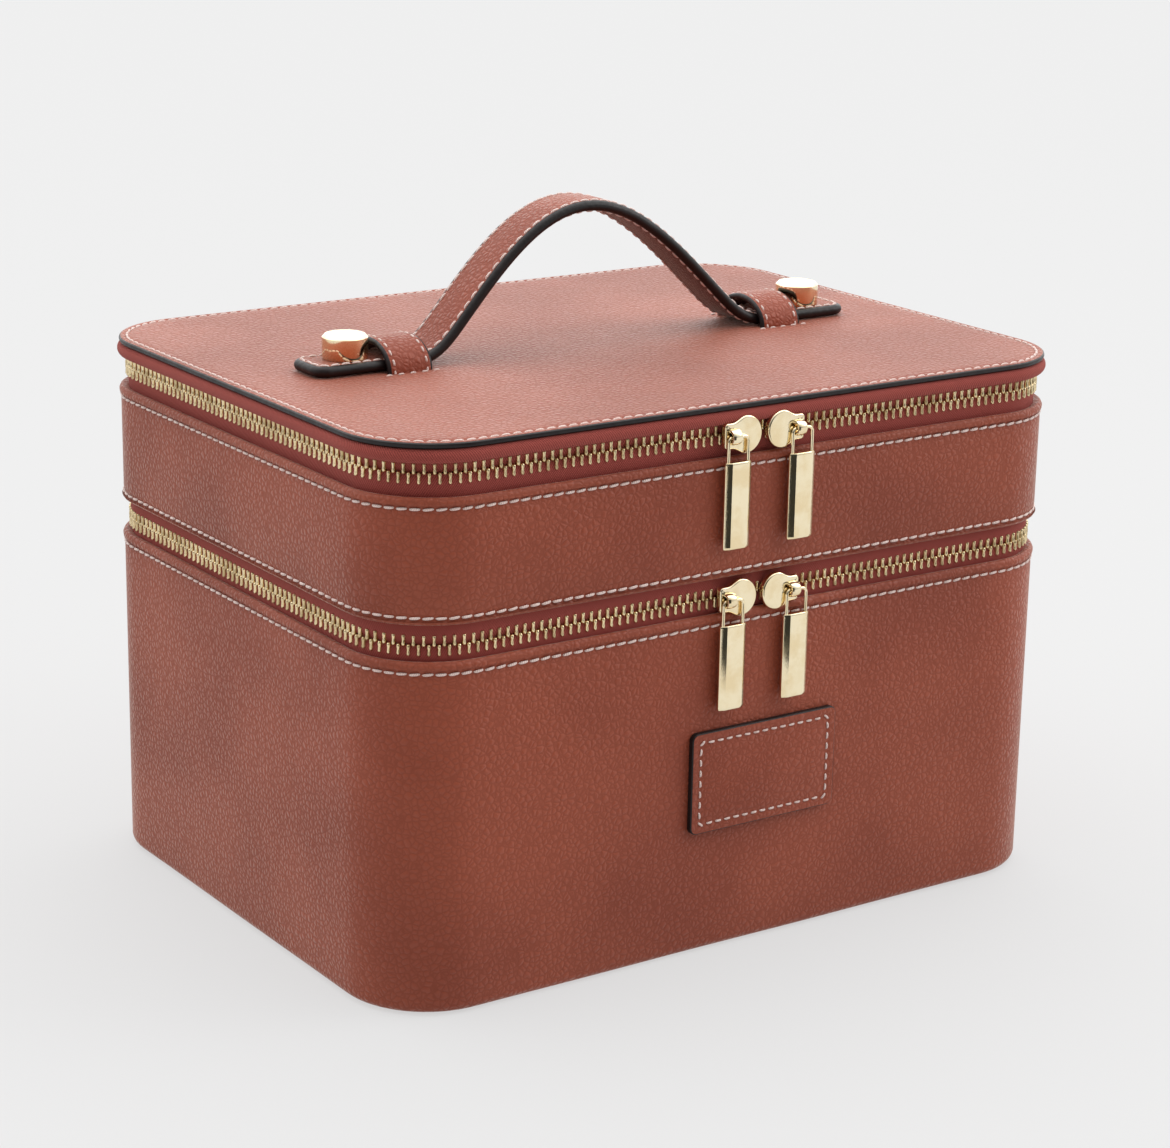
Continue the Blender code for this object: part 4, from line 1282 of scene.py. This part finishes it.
def build_keepers():
    steps = 40
    lid_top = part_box("lid_top_leather")[1].z
    for side in ("left", "right"):
        node = f"keeper_{side}"
        low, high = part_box(node)
        rise = high.z - lid_top - 0.6 * MM
        x = (low.x + high.x) / 2
        path = [Vector((x, -KEEPER_HALF, lid_top - KEEPER_FOOT))]
        for n in range(steps + 1):
            angle = math.pi * n / steps
            path.append(Vector((x, -KEEPER_HALF * math.cos(angle), lid_top + rise * math.sin(angle))))
        path.append(Vector((x, KEEPER_HALF, lid_top - KEEPER_FOOT)))
        section, keys = strap_section(high.x - low.x, KEEPER_THICKNESS, 0.2 * MM)
        bm = bmesh.new()
        strip(bm, path, (-1, 0, 0), section, keys)
        finish_piece(f"{node}_loop", bm, STRAP_LOOKS, "lid", [node])
        reach = (high.x - low.x) / 2 - 2.1 * MM
        out = KEEPER_THICKNESS / 2 * 1.03
        lines = [path_lines(path[1:-1], (-1, 0, 0), way * reach, out) for way in (-1, 1)]
        for way in (-1, 1):
            y = way * (KEEPER_HALF + 2.0 * MM)
            ends = [Vector((end, y, lid_top + 0.05 * MM)) for end in (low.x - 0.5 * MM, high.x + 0.5 * MM)]
            lines.append((ends, [(0.0, 0.0, 1.0)] * 2, False))
        sew(f"{node}_stitches", lines, "lid", fine=True)


def build_handle_ends():
    radius = STRAP_THICKNESS / 2
    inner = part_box("handle_strap")[1].x + ARCH_INSIDE_KEEPER + 0.3 * MM
    for side, sign in (("left", -1), ("right", 1)):
        body = f"handle_end_{side}"
        node = f"handle_tab_{side}"
        low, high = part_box(node)
        outer = max(abs(low.x), abs(high.x))
        half = ((outer - inner) / 2, (high.y - low.y) / 2)
        centre = Vector((sign * (outer + inner) / 2, 0))
        places = outline_places(*half, STRAP_END_CORNER, corner_steps=12, step=4 * MM)
        places = [(point + centre, normal, travelled) for point, normal, travelled in places]
        profile = [(6 * MM, low.z)] + arc((radius, low.z + radius), radius, 270, 90, 12)
        profile.append((4 * MM, high.z + 0.1 * MM))
        keys = [2] + [1] * 12 + [0]
        slab(f"{node}_strap", places, profile, STRAP_LOOKS, body, [node], keys)
        sew(f"{node}_stitches", [flat_line(places, STITCH_FROM_EDGE, high.z + 0.05 * MM)], body, 0.04)
        build_stud(side, body)


def build_stud(side, body):
    """A round cap with a bevelled rim, and the screw that holds it from below the strap."""
    low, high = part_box(f"stud_{side}")
    centre = (low + high) / 2
    radius = (high.x - low.x) / 2
    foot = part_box(f"handle_tab_{side}")[1].z
    top = high.z
    dome = 0.35 * MM
    bevel = 0.9 * MM
    profile = [(0, top + dome), (radius * 0.35, top + dome * 0.9), (radius * 0.65, top + dome * 0.55)]
    profile += [(radius - bevel - 0.15 * MM, top), (radius - bevel, top - 0.08 * MM)]
    profile += [(radius - 0.12 * MM, top - bevel + 0.05 * MM), (radius, top - bevel - 0.1 * MM)]
    profile += [(radius, foot + 0.5 * MM), (radius - 0.3 * MM, foot + 0.1 * MM)]
    profile += [(radius * 0.4, foot), (0, foot)]
    bm = bmesh.new()
    lathe(bm, profile, centre)
    finish_piece(f"stud_cap_{side}", bm, ["gold"], body, [f"stud_{side}"])
    low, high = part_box(f"stud_screw_{side}")
    head = (high.x - low.x) / 2
    shank_top = foot + 1 * MM
    profile = [(0, low.z), (head - 0.2 * MM, low.z), (head, low.z + 0.2 * MM), (head, low.z + 0.8 * MM)]
    profile += [(1.4 * MM, low.z + 0.8 * MM), (1.4 * MM, shank_top), (0, shank_top)]
    bm = bmesh.new()
    lathe(bm, profile, centre, 40)
    finish_piece(f"stud_pin_{side}", bm, ["gold"], body, [f"stud_screw_{side}"])


# ---------------------------------------------------------------- sliders and pulls


def slider_half_height(share, nose, tail):
    """Half height of the slider's plate: a round nose, a shoulder, then a narrow tail. Share goes 0 to 1."""
    round_end = 0.42
    blend_end = 0.80
    if share < round_end:
        return nose * math.sqrt(max(0.0, 1 - (1 - share / round_end) ** 2))
    if share < blend_end:
        into = (share - round_end) / (blend_end - round_end)
        return nose + (tail - nose) * (1 - math.cos(math.pi * into)) / 2
    return tail


def slider_places(length, nose, tail):
    """The slider's outline, with its nose towards -X."""
    steps = 40
    corner = 1.2 * MM
    tail_start = length / 2 - corner
    upper = []
    for n in range(steps + 1):
        share = (n / steps) ** 1.7
        x = length * (share - 0.5)
        if x < tail_start - 0.2 * MM:
            upper.append((x, slider_half_height(share, nose, tail)))
    upper += arc((tail_start, tail - corner), corner, 90, 0, 5)
    points = [Vector(p) for p in upper] + [Vector((x, -y)) for x, y in reversed(upper)]
    kept = [p for n, p in enumerate(points) if (p - points[n - 1]).length > 0.02 * MM]
    places = []
    for n, point in enumerate(kept):
        tangent = (kept[(n + 1) % len(kept)] - kept[n - 1]).normalized()
        places.append((point, Vector((-tangent.y, tangent.x))))
    return with_distance(places)


def build_slider(level, side, sign):
    """A slider with its front and rear plates and its crown. The nose points to the zip's middle."""
    node = f"{level}_slider_{side}"
    low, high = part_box(node)
    zip_z = (low.z + high.z) / 2
    length = high.x - low.x
    front = -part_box("lid_top_leather")[1].y
    centre_x = (low.x + high.x) / 2
    places = slider_places(length, SLIDER_NOSE, SLIDER_TAIL)
    turn = upright_at(centre_x, front, zip_z)
    if sign < 0:
        turn = turn @ Matrix.Rotation(math.pi, 4, "Z")
    edge = 0.55 * MM
    bm = bmesh.new()
    profile = [(1.0 * MM, -0.5 * MM), (0.2 * MM, -0.4 * MM), (0, 0.1 * MM), (0, SLIDER_RAISE - edge)]
    profile += arc((edge, SLIDER_RAISE - edge), edge, 180, 90, 5)
    profile += [(1.6 * MM, SLIDER_RAISE + 0.12 * MM), (2.8 * MM, SLIDER_RAISE + 0.16 * MM)]
    close_ends(bm, sweep(bm, places, profile, closed_profile=False))
    add_rear_plate(bm, length)
    bmesh.ops.transform(bm, matrix=turn, verts=list(bm.verts))
    add_crown(bm, centre_x + sign * CROWN_SHIFT, front - SLIDER_RAISE, zip_z)
    finish_piece(f"{node}_body", bm, ["gold"], f"{level}_{side}_slider", [node])


def add_rear_plate(bm, length):
    """The slider's plate behind the teeth, and the web that carries it."""
    depth = -SLIDER_REAR
    places = slider_places(length - 3 * MM, 4.2 * MM, 3.0 * MM)
    profile = [(0.5 * MM, depth), (0, depth - 0.3 * MM), (0, depth - 0.9 * MM), (0.5 * MM, depth - 1.2 * MM)]
    close_ends(bm, sweep(bm, places, profile, closed_profile=False))
    section = [(-0.4 * MM, -0.8 * MM), (0.4 * MM, -0.8 * MM), (0.4 * MM, 0.8 * MM), (-0.4 * MM, 0.8 * MM)]
    path = [Vector((0, 0, z)) for z in (depth - 0.6 * MM, 0.2 * MM)]
    strip(bm, path, (0, 1, 0), section)


def add_crown(bm, x, face, z):
    """The rounded loop on the slider's face that the bail hangs in."""
    reach = 2.35 * MM
    half = 1.85 * MM
    path = [Vector((x, face + 0.5 * MM, z + half))]
    steps = 14
    for n in range(steps + 1):
        angle = math.pi / 2 - math.pi * n / steps
        bend = abs(math.cos(angle)) ** 0.7
        path.append(Vector((x, face - reach * bend, z + half * math.sin(angle))))
    path.append(Vector((x, face + 0.5 * MM, z - half)))
    section, _ = strap_section(3.4 * MM, 1.0 * MM, 0.1 * MM, 4, 4)
    strip(bm, path, (1, 0, 0), section)


def build_bail(node, body):
    """The wire loop that hangs in the slider's crown."""
    low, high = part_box(node)
    centre = (low + high) / 2
    radius = (high.y - low.y) / 2
    half_x = (high.x - low.x) / 2 - radius
    half_z = (high.z - low.z) / 2 - radius
    places = outline_places(half_x, half_z, BAIL_CORNER, corner_steps=8, step=2 * MM)
    bm = bmesh.new()
    tube(bm, [Vector((centre.x + p.x, centre.y, centre.z + p.y)) for p, _, _ in places], (0, 1, 0), radius)
    finish_piece(f"{node}_wire", bm, ["gold"], body, [node])


def build_tab(node, body):
    """A bar with wide bevels along its face and slightly drawn-in ends."""
    low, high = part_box(node)
    centre = (low + high) / 2
    half = (high - low) / 2
    flat = half.x - TAB_BEVEL
    side = TAB_EDGE * 0.5
    section = [(-half.x, -side), (-half.x, side), (-flat, half.y), (flat, half.y)]
    section += [(-x, -y) for x, y in section]
    ends = ((0.0, 0.80), (0.25 * MM, 0.93), (0.7 * MM, 1.0))
    stops = [(low.z + up, size) for up, size in ends] + [(high.z - up, size) for up, size in reversed(ends)]
    rings = []
    for z, size in stops:
        shrink = (1 - size) * half.y
        share_x = 1 - shrink / half.x
        share_y = 1 - shrink / half.y
        rings.append([(centre.x + x * share_x, centre.y + y * share_y, z) for x, y in section])
    bm = bmesh.new()
    skin(bm, [[bm.verts.new(spot) for spot in ring] for ring in rings])
    bmesh.ops.bevel(
        bm, geom=list(bm.edges), offset=0.12 * MM, segments=2, affect="EDGES", profile=0.5, clamp_overlap=True
    )
    finish_piece(f"{node}_bar", bm, ["gold"], body, [node])


# ---------------------------------------------------------------- studio


def build_studio():
    half = FLOOR_HALF
    mesh = bpy.data.meshes.new("studio floor")
    corners = [(-half, -half, 0), (half, -half, 0), (half, half, 0), (-half, half, 0)]
    mesh.from_pydata(corners, [], [(0, 1, 2, 3)])
    mesh.materials.append(floor_paper())
    ground = bpy.data.objects.new("studio floor", mesh)
    bpy.context.scene.collection.objects.link(ground)


def build_card():
    """A dark card before the case that only reflections show. It gives the metal something dark."""
    mesh = bpy.data.meshes.new("dark card")
    left, right, y, top = CARD
    corners = [(left, y, 0.0), (right, y, 0.0), (right, y, top), (left, y, top)]
    mesh.from_pydata(corners, [], [(0, 1, 2, 3)])
    material, tree, shader = new_material("dark card", Roughness=0.95)
    felt = noise_texture(tree, object_place(tree), 300.0)
    colour = mix(tree, felt.outputs["Fac"], (0.01, 0.011, 0.009, 1), (0.02, 0.021, 0.018, 1))
    tree.links.new(colour, shader.inputs["Base Color"])
    mesh.materials.append(material)
    card = bpy.data.objects.new("dark card", mesh)
    bpy.context.scene.collection.objects.link(card)
    card.visible_camera = card.visible_diffuse = card.visible_shadow = False


def build_key():
    """A soft box high on the right, for gentle shadows to the left."""
    light = bpy.data.lights.new("soft box", "AREA")
    light.shape = "SQUARE"
    light.size = KEY_SIZE
    light.energy = KEY_POWER
    lamp = bpy.data.objects.new("soft box", light)
    place = Vector(KEY_PLACE)
    lamp.location = place
    lamp.rotation_euler = (Vector(KEY_AIM) - place).to_track_quat("-Z", "Y").to_euler()
    bpy.context.scene.collection.objects.link(lamp)


def build_lights():
    """A white room that is brightest overhead and darker behind the camera."""
    world = bpy.data.worlds.new("white studio")
    bpy.context.scene.world = world
    world.use_nodes = True
    tree = world.node_tree
    way = tree.nodes.new("ShaderNodeTexCoord").outputs["Generated"]
    height = add(tree, "ShaderNodeSeparateXYZ", {"Vector": way}).outputs["Z"]
    overhead = sums(tree, "MULTIPLY_ADD", sums(tree, "MAXIMUM", height, 0.0), ROOM_TOP, ROOM_WALL)
    facing = vectors(tree, "DOT_PRODUCT", {0: way, 1: tuple(Vector(ROOM_FRONT).normalized())})
    behind = ramp(tree, facing, -0.95, -0.6, ROOM_BACK, 0.0)
    dimmed = sums(tree, "MULTIPLY", overhead, ramp(tree, facing, 0.0, 0.95, 1.0, 0.2))
    level = sums(tree, "ADD", dimmed, behind)
    shade = tree.nodes["Background"]
    shade.inputs["Color"].default_value = (1, 1, 1, 1)
    tree.links.new(level, shade.inputs["Strength"])


def build_camera():
    yaw = math.radians(CAMERA_YAW)
    pitch = math.radians(CAMERA_PITCH)
    roll = math.radians(CAMERA_ROLL)
    forward = Vector((math.sin(yaw) * math.cos(pitch), math.cos(yaw) * math.cos(pitch), -math.sin(pitch)))
    level = Vector((math.cos(yaw), -math.sin(yaw), 0))
    upright = level.cross(forward)
    right = level * math.cos(roll) + upright * math.sin(roll)
    up = upright * math.cos(roll) - level * math.sin(roll)
    data = bpy.data.cameras.new("camera")
    data.lens = CAMERA_LENS
    data.sensor_width = 36
    data.sensor_fit = "HORIZONTAL"
    camera = bpy.data.objects.new("camera", data)
    matrix = Matrix((right, up, -forward)).transposed().to_4x4()
    matrix.translation = Vector(CAMERA_PLACE)
    camera.matrix_world = matrix
    bpy.context.scene.collection.objects.link(camera)
    bpy.context.scene.camera = camera
    bpy.context.scene.view_settings.view_transform = "Standard"


def carry_over_boards():
    for node in ("lower_board_box", "tier_board_tray", "lid_board"):
        for material_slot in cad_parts[node].material_slots:
            material_slot.material = looks["board"]


build_lower_case()
build_tier()
build_zips()
build_hinge_strips()
build_patch()
build_dividers()
build_ring_rolls()
build_lid()
build_handle_arch()
build_keepers()
build_handle_ends()
for level in ("lower", "upper"):
    for side, sign in (("left", -1), ("right", 1)):
        build_slider(level, side, sign)
        build_bail(f"{level}_bail_{side}", f"{level}_{side}_pull")
        build_tab(f"{level}_pull_tab_{side}", f"{level}_{side}_pull")
carry_over_boards()
build_studio()
build_card()
build_lights()
build_key()
build_camera()
for shape in helper_shapes:
    bpy.data.objects.remove(shape)
